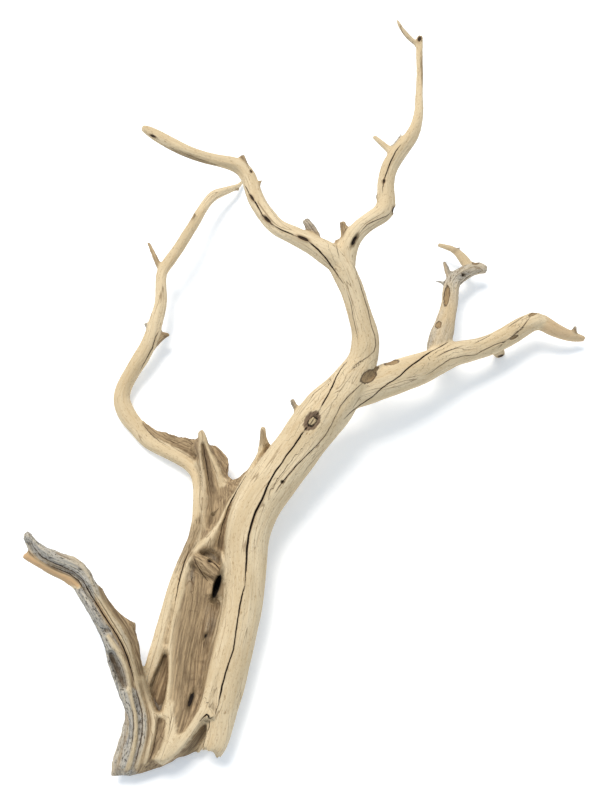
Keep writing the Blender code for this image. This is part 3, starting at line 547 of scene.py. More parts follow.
def swept(along, path, flatness, seed, unevenness, broken=(0.0, 0.0)):
    """Rings r(angle, along) = radius * (1 + unevenness * waves), pressed to flatness towards the eye."""
    points, radius = path[:, :3], path[:, 3]
    forward, across, toward = path_frames(points)
    angle = np.linspace(0, 2 * math.pi, RING, endpoint=False)[None, :]
    length = along[:, None]
    swell = waves(seed, 2 * np.cos(angle), 2 * np.sin(angle), length / SWELL_LENGTH)
    flutes = waves(seed + 50, 5 * np.cos(angle), 5 * np.sin(angle), length / FLUTE_LENGTH)
    reach = radius[:, None] * (1 + unevenness * (swell + 0.5 * flutes))
    rings = points[:, None] + (reach * np.cos(angle))[..., None] * across[:, None]
    rings = rings + (reach * flatness * np.sin(angle))[..., None] * toward[:, None]
    ragged = waves(seed + 90, 3 * np.cos(angle), 3 * np.sin(angle), octaves=4)
    start_fade = np.clip(1 - length / JAG_START, 0, 1) * broken[0]
    end_fade = np.clip(1 - (along[-1] - length) / JAG_START, 0, 1) * broken[1]
    rings = rings + (ragged * (end_fade - start_fade))[..., None] * JAG * forward[:, None]
    vertices = np.vstack([rings.reshape(-1, 3), rings[0].mean(0), rings[-1].mean(0)])
    steps = len(points)
    grid = np.arange(steps * RING).reshape(steps, RING)
    turned = np.roll(grid, -1, axis=1)
    sides = np.stack([grid[:-1], turned[:-1], turned[1:], grid[1:]], axis=-1).reshape(-1, 4)
    first = np.stack([grid[0], np.full(RING, steps * RING), turned[0]], axis=-1)
    last = np.stack([grid[-1], turned[-1], np.full(RING, steps * RING + 1)], axis=-1)
    quads = sides[:, ::-1]
    triangles = np.vstack([quads[:, [0, 1, 2]], quads[:, [0, 2, 3]], first[:, ::-1], last[:, ::-1]])
    return vertices, triangles


# %% All strands, with what each one is
# name: (route, flatness, unevenness, brown, grey or below 0 tan, blends softly, how broken each end is)
STRANDS = {
    "trunk": (TRUNK, 1.0, 0.030, 0, 0, 1, (1.4, 0)),
    "left_strand": (LEFT_STRAND, 1.0, 0.06, 0, 0, 1, (0, 0)),
    "left_bough": (LEFT_BOUGH, 1.0, 0.06, 0, 0, 1, (0, 0.3)),
    "right_bough": (RIGHT_BOUGH, 1.0, 0.06, 0, 0, 1, (0, 0)),
    "top_twig": (TOP_TWIG, 1.0, 0.04, 0.3, 0.35, 1, (0, 0)),
    "right_branch": (RIGHT_BRANCH, 1.0, 0.045, 0.1, 0, 1, (0, 0)),
    "right_tip": (RIGHT_TIP, 0.85, 0.07, 0.25, -0.45, 1, (0, 0)),
    "foot": (FOOT, 1.0, 0.05, 0.4, 0, 1, (0, 0)),
    "side_branch": (SIDE_BRANCH, 1.0, 0.06, 0.35, 0.5, 1, (0, 0.2)),
    "side_twig": (SIDE_TWIG, 1.0, 0.06, 0.35, 0.25, 1, (0, 0)),
    "belly": (BELLY, 0.32, 0.05, 0.8, 0, 0, (0, 0)),
    "knot_block": (KNOT_BLOCK, 0.9, 0.12, 0.9, 0, 0, (0, 0.6)),
}
STRANDS.update({
    name: (route, 1.0, 0.07, brown, grey, 1, (0, 0.15)) for name, (brown, grey, route) in STUBS.items()
})
# The ridge and valley lines say which way the torn wood's grain runs and how brown it is
for name, (_, brown, grey, places) in LINES.items():
    STRANDS[name] = ([(*place, LINE_RADIUS) for place in places], 1.0, 0, brown, grey, 0, (0, 0))
names = list(STRANDS)
paths = {name: route_path(STRANDS[name][0]) for name in names}
thickest = np.array([paths[name][1][:, 3].max() for name in names])
grain_paths = {
    name: route_path([(*place, LINE_RADIUS) for place in places]) for name, places in GRAIN_LINES.items()
}
lengths = sum(along[-1] for along, _ in paths.values())
print(len(names), "strands,", round(lengths, 2), "metres of wood in all")

# %% [markdown]
# ## One skin
#
# The tubes overlap where a limb leaves the trunk. A voxel remesh melts them into one closed skin
# with a face about every millimetre. The three holes are cut out of it, and a second remesh evens
# the faces. Averaging the points then softens the seams, most where two living limbs meet, since
# the real wood grew there without a crease.

# %% From arrays to meshes and back


def mesh_object(name, vertices, faces):
    """A new object whose mesh has these points and triangles."""
    mesh = bpy.data.meshes.new(name)
    mesh.from_pydata(vertices.tolist(), [], faces.tolist())
    mesh.update()
    thing = bpy.data.objects.new(name, mesh)
    bpy.context.collection.objects.link(thing)
    return thing


def joined(shells):
    """Several meshes in one: the points one after another, and the faces numbered to match."""
    counts = np.cumsum([0] + [len(points) for points, _ in shells])
    faces = np.vstack([face + start for (_, face), start in zip(shells, counts)])
    return np.vstack([points for points, _ in shells]), faces


def mesh_arrays(mesh, corners):
    """The points and faces of a mesh whose faces all have this many corners; the mesh is removed."""
    points = np.empty(len(mesh.vertices) * 3, np.float32)
    mesh.vertices.foreach_get("co", points)
    numbers = np.empty(len(mesh.loops), np.int32)
    mesh.loops.foreach_get("vertex_index", numbers)
    bpy.data.meshes.remove(mesh)
    return points.reshape(-1, 3).astype(float), numbers.reshape(-1, corners)


def modified(thing, corners):
    """The points and faces that an object's modifiers leave; the object is removed."""
    evaluated = thing.evaluated_get(bpy.context.evaluated_depsgraph_get())
    mesh = bpy.data.meshes.new_from_object(evaluated)
    bpy.data.objects.remove(thing, do_unlink=True)
    return mesh_arrays(mesh, corners)


# %% The torn net
STEPS_PER_PLACE = 4
# Places closer than this many pixels are one, and heights are averaged by nearness from here on
SAME_PLACE = 0.05
NEARNESS_START = 0.02
# The net's underside, and where and how fast it rises with the horn
UNDERSIDE = 0.005
HORN_THICKNESS = 0.009
HORN_ROOT = 0.030
HORN_RISE = 1.7


def torn_sheet(edge, lines):
    """A net over an edge and lines. Height = sum(drawn height / gap^4) / sum(1 / gap^4) at each knot.

    The underside is near the floor, and rises with the horn: the lower of top less a thickness, and
    (top less root) times rise, but never under the lowest height.
    """
    curves = [catmull_rom(np.array(values[3], float), STEPS_PER_PLACE) for values in lines.values()]
    pieces = [np.array(edge, float)] + curves
    starts = np.cumsum([0] + [len(piece) for piece in pieces])
    drawn = np.vstack(pieces)
    rows = [np.arange(start, end) for start, end in zip(starts[1:-1], starts[2:])]
    links = np.vstack([np.column_stack([row[:-1], row[1:]]) for row in rows])
    found = delaunay_2d_cdt(
        [Vector(place) for place in drawn[:, :2]], links.tolist(), [list(range(len(edge)))], 1, SAME_PLACE,
    )
    seen = np.array([point[:] for point in found[0]])
    faces = np.array(found[2])
    nearest = np.linalg.norm(seen[:, None] - drawn[None, :, :2], axis=2)
    weight = 1 / (nearest + NEARNESS_START) ** 4
    height = weight @ drawn[:, 2] / weight.sum(1)
    rim = np.isin(nearest.argmin(1), np.arange(len(edge)))
    top = seen_place(seen, height)
    bottom = top.copy()
    under_horn = np.minimum(top[:, 2] - HORN_THICKNESS, (top[:, 2] - HORN_ROOT) * HORN_RISE)
    bottom[:, 2] = np.maximum(under_horn, UNDERSIDE)
    below = np.where(rim, np.arange(len(top)), np.cumsum(~rim) - 1 + len(top))
    thick = faces[~rim[faces].all(axis=1)]
    print("net of", len(top), "points and", len(thick), "triangles on top")
    return np.vstack([top, bottom[~rim]]), np.vstack([thick, below[thick][:, ::-1]])


# %% Melt the strands together and cut the holes
VOXEL = 0.0009
HOLE_UNEVENNESS = 0.12


def melted(thing, name):
    """Add a voxel remesh, which gives one closed skin of small quads."""
    remesh = thing.modifiers.new(name, "REMESH")
    remesh.mode = "VOXEL"
    remesh.voxel_size = VOXEL


def hole_cutter():
    """The strands of HOLES in one object, deep towards and away from the eye."""
    shells = [
        swept(*route_path(route), HOLE_FLATNESS, seed, HOLE_UNEVENNESS)
        for seed, route in enumerate(HOLES.values())
    ]
    return mesh_object("holes", *joined(shells))


def fused_skin():
    """All strands and the torn net melted into one, less the holes, and melted again; points and quads."""
    shells = []
    for seed, name in enumerate(names):
        if name in LINES:
            continue
        _, flatness, unevenness, _, _, _, broken = STRANDS[name]
        along, path = paths[name]
        shells.append(swept(along, path, flatness, seed * 7 + 11, unevenness, broken))
    shells.append(torn_sheet(TORN_EDGE, LINES))
    thing = mesh_object("strands", *joined(shells))
    melted(thing, "melt")
    cutter = hole_cutter()
    holes = thing.modifiers.new("holes", "BOOLEAN")
    holes.operation = "DIFFERENCE"
    holes.object = cutter
    melted(thing, "melt_again")
    points, quads = modified(thing, 4)
    bpy.data.objects.remove(cutter, do_unlink=True)
    return points, quads


skin_points, skin_quads = fused_skin()
print("melted skin", len(skin_points), "points", len(skin_quads), "faces")

# %% Keep the one big skin


def edges_of(faces):
    """Each edge of the faces once, as two point numbers."""
    pairs = np.stack([faces, np.roll(faces, -1, axis=1)], axis=-1).reshape(-1, 2)
    return np.unique(np.sort(pairs, axis=1), axis=0)


def biggest_piece(points, faces):
    """Keep only the connected piece with the most points: labels spread along edges until they rest."""
    links = edges_of(faces)
    labels = np.arange(len(points))
    while True:
        low = np.minimum(labels[links[:, 0]], labels[links[:, 1]])
        fresh = labels.copy()
        np.minimum.at(fresh, links[:, 0], low)
        np.minimum.at(fresh, links[:, 1], low)
        fresh = fresh[fresh]
        if np.array_equal(fresh, labels):
            break
        labels = fresh
    kept = labels == np.bincount(labels).argmax()
    numbers = np.cumsum(kept) - 1
    return points[kept], numbers[faces[kept[faces[:, 0]]]]


skin_points, skin_quads = biggest_piece(skin_points, skin_quads)
skin_edges = edges_of(skin_quads)
print("one skin", len(skin_points), "points")

# %% How far each point is from each strand


def strand_table(points):
    """For each point and strand: distance past the strand's side, and place along, across, toward."""
    gap = np.empty((len(points), len(names)), np.float32)
    place = np.empty((len(points), len(names), 3), np.float32)
    grain = {name: place_on_path(points, *values, 1.0)[1] for name, values in grain_paths.items()}
    for number, name in enumerate(names):
        gap[:, number], place[:, number] = place_on_path(points, *paths[name], STRANDS[name][1])
        if name in LINES:
            place[:, number] = grain[LINES[name][0]]
    return gap, place


def place_on_path(points, along, path, flatness):
    """From the nearest step of a path: distance past its radius, and place along, across, toward."""
    forward, across, toward = path_frames(path[:, :3])
    nearest = nearest_step(points, path[:, :3])
    offset = points - path[nearest, :3]
    side = np.einsum("ij,ij->i", offset, across[nearest])
    lift = np.einsum("ij,ij->i", offset, toward[nearest])
    ahead = np.einsum("ij,ij->i", offset, forward[nearest])
    slim = np.sqrt(side ** 2 + (lift / flatness) ** 2 + ahead ** 2)
    return slim - path[nearest, 3], np.stack([along[nearest] + ahead, side, lift], axis=-1)


def nearest_step(points, path, block=8192):
    """The number of the path step nearest to each point, a block of points at a time."""
    found = np.empty(len(points), np.int64)
    weight = (path ** 2).sum(1)[None]
    for start in range(0, len(points), block):
        some = points[start:start + block]
        found[start:start + block] = np.argmin(weight - 2 * some @ path.T, axis=1)
    return found


skin_gap, _ = strand_table(skin_points)
print("nearest strands found; most used:", names[int(np.bincount(skin_gap.argmin(1)).argmax())])

# %% Soften the skin
# Limbs melt into each other within this reach, and thicker limbs than this do so fully
JUNCTION_REACH = 0.006
FULL_BLEND_RADIUS = 0.006


def averaged(points, links, rounds, amount):
    """Move each point towards the mean of its neighbours, each round by the given amount."""
    points = points.copy()
    count = np.bincount(links.ravel(), minlength=len(points))[:, None]
    for _ in range(rounds):
        total = np.stack([
            np.bincount(links[:, 0], points[links[:, 1], axis], len(points))
            + np.bincount(links[:, 1], points[links[:, 0], axis], len(points))
            for axis in range(3)
        ], axis=-1)
        points += amount * (total / count - points)
    return points


blend_flags = np.array([STRANDS[name][5] for name in names], float)
order = np.argsort(skin_gap, axis=1)[:, :2]
second_gap = np.take_along_axis(skin_gap, order[:, 1:2], axis=1)[:, 0]
both_blend = blend_flags[order[:, 0]] * blend_flags[order[:, 1]]
thick_enough = np.clip(thickest[order].min(axis=1) / FULL_BLEND_RADIUS, 0, 1)
junction = both_blend * np.clip(1 - second_gap / JUNCTION_REACH, 0, 1) * thick_enough
skin_points = averaged(skin_points, skin_edges, rounds=3, amount=0.5)
skin_points = averaged(skin_points, skin_edges, rounds=30, amount=0.6 * junction[:, None])
print("points near a soft junction", int((junction > 0.3).sum()))

# %% [markdown]
# ## Thinning the skin
#
# Most of the skin is smooth, so a collapse decimation takes faces away where nothing happens. The
# cracks come afterwards: the faces along them are split again, so a narrow crack has its own edges.

# %% Thin out
KEPT_TRIANGLES = 145000


def thinned(points, quads, triangles):
    """Collapse edges until about this many triangles are left; points and triangles."""
    thing = mesh_object("skin", points, quads)
    decimate = thing.modifiers.new("thin", "DECIMATE")
    decimate.ratio = triangles / (2 * len(quads))
    decimate.use_collapse_triangulate = True
    return modified(thing, 3)


wood_points, wood_faces = thinned(skin_points, skin_quads, KEPT_TRIANGLES)
print("thinned skin", len(wood_points), "points", len(wood_faces), "triangles")

# %% [markdown]
# ## Cracks
#
# Dry driftwood splits along its grain. Each crack is drawn as seen places, and a ray from
# the eye finds where it lies on the wood. Around it the faces are split twice, so the crack is a
# real groove; only hairlines get no edges of their own. Every point also keeps its signed distance
# across the crack, which the material reads to darken the bottom.

# %% Crack lines: (width mm, depth mm, seen places)
CRACKS = {
    "trunk_upper": (1.6, 2.2, [
        (348.3, 360), (341, 368.3), (335.5, 377.8), (332, 386.7),
        (325.5, 398.9), (320, 408.9), (317.2, 414.5),
        (315.5, 417.8), (309.4, 424.4), (305, 431), (301, 437),
    ]),
    "trunk_middle": (1.9, 3.0, [
        (318, 412.5), (311, 422.5), (305.5, 429.4), (301, 435.5), (294.4, 445.5),
        (286.7, 455.5), (281.7, 463.3), (275.5, 471),
        (271, 479), (266.7, 487.8), (262.2, 499.4), (256, 511), (251.5, 524), (248.5, 536), (246.8, 549),
        (246, 570), (245, 585), (243, 594),
    ]),
    "trunk_lower": (1.4, 1.8, [
        (246, 572), (245, 585), (240.7, 602), (238.5, 615), (236.4, 629.3), (233.6, 649.3), (230, 660),
        (226.4, 670.7), (222, 686.4), (218.6, 703.6), (215, 715.7),
    ]),
    "trunk_second": (1.0, 1.2, [
        (363, 382), (354.4, 390.5), (346.7, 398.3), (340, 406.7),
        (335, 416.7), (331.7, 424.4), (325.5, 435.5),
        (318.9, 443.3), (311, 451), (303.3, 458.9), (296.7, 465.5),
        (290, 473.3), (282.8, 481.7), (277.8, 488.3),
        (273.3, 495.5),
    ]),
    "trunk_left": (0.4, 0.4, [
        (333, 374.4), (325.5, 384.4), (314.4, 393.3), (307.8, 403.3),
        (298.9, 414.4), (293.3, 425.5), (290, 433.3),
    ]),
    "trunk_right": (0.4, 0.4, [(326.7, 445.5), (318.9, 454.4), (307.8, 466.7), (296.7, 482.2)]),
    "knot_tail": (1.2, 1.4, [(379, 361.5), (377.8, 364.4), (374.4, 368.9), (370.5, 372)]),
    "neck_short": (0.8, 0.8, [(363, 362.8), (355.5, 367), (348.9, 372)]),
    "bough": (1.4, 1.8, [
        (244.3, 184.3), (250, 195), (255.7, 203), (262.9, 215.7),
        (271.4, 224.3), (281.4, 230), (294.3, 235.7),
        (304, 239.5), (308.6, 241.4), (318.6, 250), (327, 260), (336, 273), (341, 280), (345, 286),
    ]),
    "bough_cap_edge": (0.8, 0.8, [(244.3, 160), (247.5, 165), (251, 171.4)]),
    "neck_left": (0.5, 0.6, [
        (345, 286), (348, 295), (351, 305), (354, 322), (357, 335), (358, 345), (357, 352),
    ]),
    "neck_right": (0.8, 0.9, [
        (351, 261), (356, 270), (362, 290), (368, 310), (371, 324), (375, 336), (376, 345), (374, 352),
        (368, 357), (358, 363), (350, 369),
    ]),
    "fork": (0.6, 0.8, [(336, 244), (337, 250), (339, 257), (341, 263)]),
    "fork_side": (0.6, 0.6, [(352, 224), (346, 229), (341, 238)]),
    "branch": (1.5, 1.8, [
        (343.3, 420), (350, 413.3), (357.8, 407), (366.7, 401), (374.4, 395.5), (381, 388.9), (387.8, 383.9),
        (394.4, 380), (400, 376), (406, 370), (412, 365), (418, 361), (424, 356), (430, 352), (440, 347),
        (450, 341),
    ]),
    "branch_far": (0.7, 1.0, [(433.9, 358.3), (443, 353.5), (451.7, 349.4), (467.2, 344.4)]),
    "branch_low": (0.6, 0.8, [
        (422, 377), (432, 372), (449.4, 359.4), (462.8, 356),
        (475, 355), (484, 350), (491.7, 346), (509.4, 339.4),
    ]),
    "branch_top": (0.6, 0.7, [(471.7, 345), (487.2, 336.7), (496, 331.7)]),
    "knee_three": (0.9, 1.0, [
        (496, 350), (504, 342.5), (511, 337.5), (518, 332), (524, 325.5), (529, 318.5), (532.5, 314),
    ]),
    "knee_four": (0.7, 0.8, [(505, 330), (512, 324.5), (519, 319.5), (526, 315), (531, 311.5)]),
    "knee_one": (0.8, 1.0, [(513.9, 328.3), (515.5, 325), (517.2, 321.7)]),
    "knee_two": (0.7, 1.0, [(511.7, 333.9), (518, 331), (525, 328.9)]),
    "right_bough_upper": (1.2, 1.5, [
        (402, 143), (396, 151), (393, 157), (390, 163), (387, 172), (384, 180), (382.6, 188), (382.6, 196),
    ]),
    "right_bough_lower": (0.8, 1.0, [
        (392, 212), (386, 216), (378, 219.5), (370, 223), (365, 227), (360, 233), (357, 237),
    ]),
    "side_branch_split": (0.9, 1.2, [(451.7, 273.3), (450.5, 278), (448.9, 284)]),
    "side_hollow_rim": (0.8, 0.8, [(450.5, 288.3), (449.8, 294), (448.6, 300), (445.5, 308)]),
    "side_branch_torn": (1.8, 1.6, [(460, 284), (463, 280.5), (467, 277.5), (472, 275)]),
    "left_limb_split": (0.7, 0.9, [(196, 212), (194, 217), (190, 222)]),
    "left_limb_groove": (1.3, 1.4, [
        (158.8, 331), (155.5, 338), (152.5, 348), (146.5, 359.5), (142, 367), (138.3, 374),
    ]),
    "left_low": (0.5, 0.5, [(140.8, 420), (145, 427), (150, 433), (160, 441.7), (168, 446), (176.7, 450)]),
    "trunk_side": (1.4, 1.8, [
        (246.5, 474), (240.8, 484), (236.7, 490.8), (231.7, 500), (228.3, 506.7), (225.3, 516.7), (223, 524),
        (220.3, 535), (218.7, 541), (217.7, 549),
    ]),
    "spike_middle": (1.2, 1.4, [
        (204, 447), (204.9, 456), (206.7, 463.3), (207.5, 473.3), (209.2, 483.3), (211.7, 490),
    ]),
    "spike_right": (0.5, 0.6, [(210, 456), (212, 462), (215.8, 471.7), (220, 481.7)]),
    "spike_left": (0.7, 0.8, [
        (199, 450), (199.6, 463), (200.3, 476), (200.6, 488), (199.4, 502), (200, 512),
    ]),
    "shoulder_one": (0.5, 0.5, [(148, 421), (158, 427), (168, 433), (180, 437), (190, 441), (197, 447)]),
    "shoulder_two": (0.4, 0.4, [(156, 434), (168, 440), (180, 445), (190, 453)]),
    "shoulder_edge": (0.8, 0.9, [(227.5, 457), (228.5, 464), (226.5, 470), (226, 476), (229, 480)]),
    "rim_line": (1.2, 1.4, [
        (190, 548), (186.5, 557), (183, 567), (180.3, 577), (178, 587), (176, 598), (174, 609), (171.7, 620),
    ]),
    # painted shade: a dark crack drawn in the gap under the knot block
    "shade_under_block": (2.0, 2.4, [(194, 557.5), (196, 563.5), (199.5, 570), (204, 576.5), (209, 582)]),
    "block_above": (1.3, 1.8, [(207, 558.5), (212.4, 562), (216, 564.5), (219.5, 569), (220, 574)]),
    "block_one": (0.45, 0.5, [(195.5, 556.5), (201, 562.5), (207.5, 570), (212, 576.5)]),
    "hole_tail": (1.2, 1.0, [(204.6, 639), (203.8, 644), (203.7, 650)]),
    "lip_notch": (2.2, 2.4, [
        (199, 722), (203, 718), (206.4, 714.4), (208.6, 716), (209.2, 719), (211.6, 717.6), (214.4, 716.4),
    ]),
    "cave_side": (1.3, 1.4, [(209.6, 719), (209, 727), (206, 737), (203, 746), (201, 752)]),
    "apron_one": (0.4, 0.4, [(170, 700), (171.5, 716), (169, 733), (164, 747)]),
    "horn_top_line": (1.4, 1.2, [
        (29.5, 540), (35, 549), (43, 557.5), (53, 563), (64, 567.5), (75, 573), (83, 580), (88, 590),
        (94, 600), (101, 611), (108.5, 622.5), (116, 634), (122, 645), (127, 656), (131, 669), (134.5, 684),
    ]),
    "horn_double": (0.9, 0.8, [(46, 564), (58, 568.5), (70, 574), (78.5, 580.5), (84, 590), (90, 601)]),
    "horn_stripe": (0.5, 0.5, [
        (92, 588), (99, 600), (106.5, 612), (114, 624), (121.5, 636), (127.5, 648), (132, 661), (135.5, 675),
    ]),
    "horn_lower": (0.8, 0.9, [
        (134.5, 684), (138.5, 699), (142, 714), (142.5, 728), (140.5, 743), (137, 757), (133.5, 770),
    ]),
    "horn_foot": (0.5, 0.5, [(129.5, 700), (133, 714), (133.8, 729), (131.5, 745), (127, 762)]),
    "cave_fibre": (0.5, 0.5, [(107, 652), (112, 655), (118, 657), (122, 660)]),
    "base_one": (0.7, 1.2, [(159, 718), (158, 724), (157, 730), (154, 747), (148, 765)]),
}

# %% Find places on the wood
# A drawn line wanders this many pixels to each side, and has a step on the wood this often
WANDER = 0.25
CRACK_STEP = 0.0005


def wood_tree(points, faces):
    """A search tree over the wood's triangles."""
    return BVHTree.FromPolygons(points.tolist(), faces.tolist())


def on_wood(tree, seen):
    """Where each sight line first meets the wood; a line that misses gives no place."""
    places = []
    for ray in sight(seen):
        hit = tree.ray_cast(Vector(EYE), Vector(ray))[0]
        if hit is not None:
            places.append(np.array(hit))
    return np.array(places)


def even_line(places, spacing):
    """The same line with steps of even length, and how far along it each step is."""
    reach = reach_along(places)
    along = np.arange(0, reach[-1], spacing)
    return along, read_at(along, reach, places)


def crack_lines(tree):
    """Each crack as even steps on the wood, wandering a little from its drawn line."""
    lines = {}
    for number, (name, (_, _, seen)) in enumerate(CRACKS.items()):
        _, fine = even_line(np.array(seen, float), 1.0)
        wander = WANDER * waves(number + 300, np.arange(len(fine)) / 5.0)[:, None]
        turn = np.gradient(fine, axis=0)[:, ::-1] * [1, -1]
        places = on_wood(tree, fine + wander * turn)
        lines[name] = even_line(places, CRACK_STEP)
    return lines


tree = wood_tree(wood_points, wood_faces)
cracks = crack_lines(tree)
print("cracks", len(cracks), "metres", round(sum(along[-1] for along, _ in cracks.values()), 2))

# %% Split the faces along the cracks
REFINE_REACH = 0.0017
SHORTEST_SPLIT = 0.0005
# Narrower cracks than this get no edges of their own
HAIRLINE = 0.00055
# A crack is looked for this far around its line, narrows over its last stretch, and wavers this often
CRACK_BOX = 0.02
TAPER = 0.018
WAVER = 0.012


def crack_table(points):
    """Signed distance across the nearest crack, and that crack's width and depth there.

    Both are the full ones times (distance from the nearer end / taper) ^ 0.6 times a wavering share.
    """
    across = np.full(len(points), CRACK_BOX)
    width = np.zeros(len(points))
    depth = np.zeros(len(points))
    for name, (along, line) in cracks.items():
        full_width, full_depth, _ = CRACKS[name]
        boxed = (points > line.min(0) - CRACK_BOX) & (points < line.max(0) + CRACK_BOX)
        near = np.flatnonzero(boxed.all(axis=1))
        if len(near) == 0:
            continue
        nearest = nearest_step(points[near], line)
        side = np.cross(unit(np.gradient(line, axis=0)), unit(EYE - line))
        offset = points[near] - line[nearest]
        signed = np.einsum("ij,ij->i", offset, side[nearest])
        whole = np.linalg.norm(offset, axis=1)
        signed = np.where(signed < 0, -whole, whole)
        taper = np.minimum(along, along[-1] - along)[nearest] / TAPER
        taper = np.clip(taper, 0, 1) ** 0.6 * (0.8 + 0.35 * waves(7, along / WAVER)[nearest])
        closer = np.abs(signed) < np.abs(across[near])
        chosen = near[closer]
        across[chosen] = signed[closer]
        width[chosen] = full_width * 0.001 * taper[closer]
        depth[chosen] = full_depth * 0.001 * taper[closer]
    return across, width, depth


def split_near_cracks(points, faces, rounds):
    """Halve every edge within reach of a crack, in a few rounds that come closer to it."""
    work = bmesh.new()
    mesh = bpy.data.meshes.new("split")
    mesh.from_pydata(points.tolist(), [], faces.tolist())
    work.from_mesh(mesh)
    for number in range(rounds):
        work.verts.ensure_lookup_table()
        found = np.array([vertex.co[:] for vertex in work.verts])
        across, width, _ = crack_table(found)
        reach = REFINE_REACH / (1 + 0.8 * number) + 0.5 * width
        near = (np.abs(across) < reach) & (width > HAIRLINE)
        close = [edge for edge in work.edges if near[edge.verts[0].index] or near[edge.verts[1].index]]
        chosen = [edge for edge in close if edge.calc_length() > SHORTEST_SPLIT]
        bmesh.ops.subdivide_edges(work, edges=chosen, cuts=1, use_grid_fill=False)
        bmesh.ops.triangulate(work, faces=work.faces)
    work.to_mesh(mesh)
    work.free()
    return mesh_arrays(mesh, 3)


wood_points, wood_faces = split_near_cracks(wood_points, wood_faces, 2)
print("split along cracks", len(wood_points), "points", len(wood_faces), "triangles")

# %% [markdown]
# ## Relief
#
# Sand wears the soft wood between the hard rings, which leaves low ridges along each limb. They
# are waves that change fast round the limb and slowly along it. Knots are low mounds with a sunken
# heart, and pits are small bowls, painted near black inside as shade. Stains only colour the wood,
# but two marks of that kind are painted shade, on a strand's shaded side and under a bough. The
# three big holes are cut already, so their marks mostly paint shade into them.

# %% Knots, pits, stains and painted shade: seen place, half length mm, half width mm, turn in degrees, depth mm, kind
RING_KNOT, DARK_KNOT, BROWN_PATCH, PIT, STAIN_AND_SHADE = 0, 1, 2, 3, 4
MARKS = [
    ((312, 421), 8.4, 5.8, 52, 1.4, RING_KNOT),
    ((368.3, 376.7), 7.0, 4.3, 35, 1.4, BROWN_PATCH),
    ((376, 369), 3.4, 1.5, 50, 0.8, BROWN_PATCH),
    ((251.1, 171.4), 1.4, 1.2, 0, 1.0, DARK_KNOT),
    ((251.9, 197.9), 3.0, 1.2, -60, 1.2, DARK_KNOT),
    ((266.8, 219.3), 4.2, 1.6, -42, 1.6, DARK_KNOT),
    ((303.2, 238.4), 4.8, 1.4, -24, 1.4, DARK_KNOT),
    ((392, 362.5), 6.2, 1.8, 12, 0.7, BROWN_PATCH),
    ((514, 337.2), 3.8, 1.3, 25, 0.8, BROWN_PATCH),
    ((533, 314), 4.2, 1.4, 25, 0.9, BROWN_PATCH),
    ((501, 356), 2.6, 1.6, 10, 0.7, DARK_KNOT),
    ((446.7, 296), 9.0, 2.4, 83, 1.6, BROWN_PATCH),
    ((438.3, 325), 3.2, 2.5, 70, 0.8, BROWN_PATCH),
    ((463.3, 275), 1.3, 1.1, 0, 1.6, PIT),
    ((475.5, 263.3), 3.0, 1.3, 0, 0.7, BROWN_PATCH),
    ((383.8, 181.4), 1.7, 1.2, 70, 1.2, DARK_KNOT),
    ((394.5, 210), 2.8, 2.1, 80, 1.0, DARK_KNOT),
    ((354.5, 240.5), 4.8, 1.4, 62, 2.0, PIT),
    ((282.6, 482), 1.3, 1.1, 0, 1.4, PIT),
    ((217, 586.5), 10.5, 2.2, 73, 0.2, PIT),
    ((205.6, 633.5), 5.0, 1.6, 75, 0.2, PIT),
    ((191, 699), 6.2, 1.6, 72, 0.2, PIT),
    ((210, 560.7), 1.5, 1.2, 0, 1.6, PIT),
    ((213, 514), 1.3, 1.0, 0, 1.2, PIT),
    ((217, 510), 0.9, 0.8, 0, 1.0, PIT),
    ((153, 136), 2.8, 0.9, -20, 1.0, DARK_KNOT),
    ((419.5, 39), 2.4, 1.6, 60, 0.5, DARK_KNOT),
    # painted shade: the shaded side of the left strand
    ((188, 544), 24.0, 5.5, 67, 0, STAIN_AND_SHADE),
    ((262.5, 437), 9.0, 5.0, 95, 0, STAIN_AND_SHADE),
    # painted shade: along the underside of the left bough
    ((193, 158), 33.0, 2.2, -19, 0, STAIN_AND_SHADE),
    ((422, 68), 15.0, 1.4, 90, 0, STAIN_AND_SHADE),
]
FAR_FROM_MARKS = 9.0
mark_depths = np.array([mark[4] for mark in MARKS]) * 0.001
mark_kinds = np.array([mark[5] for mark in MARKS])


def mark_table(points, tree):
    """For each point, how far out it lies in the nearest mark (1 at the rim), and the mark's number."""
    reach = np.full(len(points), FAR_FROM_MARKS)
    chosen = np.zeros(len(points), np.int32)
    for number, (seen, half_length, half_width, turn, depth, kind) in enumerate(MARKS):
        centre = on_wood(tree, np.array([seen], float))
        if len(centre) == 0:
            print("mark off the wood", seen)
            continue
        toward = unit(EYE - centre[0])
        right = unit(np.cross(UPWARD, toward))
        high = np.cross(toward, right)
        angle = math.radians(turn)
        lengthwise = math.cos(angle) * right + math.sin(angle) * high
        widthwise = -math.sin(angle) * right + math.cos(angle) * high
        offset = points - centre[0]
        u = offset @ lengthwise / (half_length * 0.001)
        v = offset @ widthwise / (half_width * 0.001)
        # A mark reaches one and a half half lengths into the wood, and fades fast beyond
        w = offset @ toward / (max(half_length, depth) * 0.0015)
        size = np.sqrt(u ** 2 + v ** 2 + np.clip(np.abs(w) - 1, 0, None) ** 2 * 9)
        closer = size < reach
        reach[closer] = size[closer]
        chosen[closer] = number
    return reach, chosen


def normals_of(points, faces):
    """Point normals: the sum of the cross products of the faces around each point, made unit length."""
    corner = points[faces]
    face = np.cross(corner[:, 1] - corner[:, 0], corner[:, 2] - corner[:, 0])
    total = np.stack([
        sum(np.bincount(faces[:, place], face[:, axis], len(points)) for place in range(3))
        for axis in range(3)
    ], axis=-1)
    return total / np.maximum(np.linalg.norm(total, axis=1, keepdims=True), 1e-12)


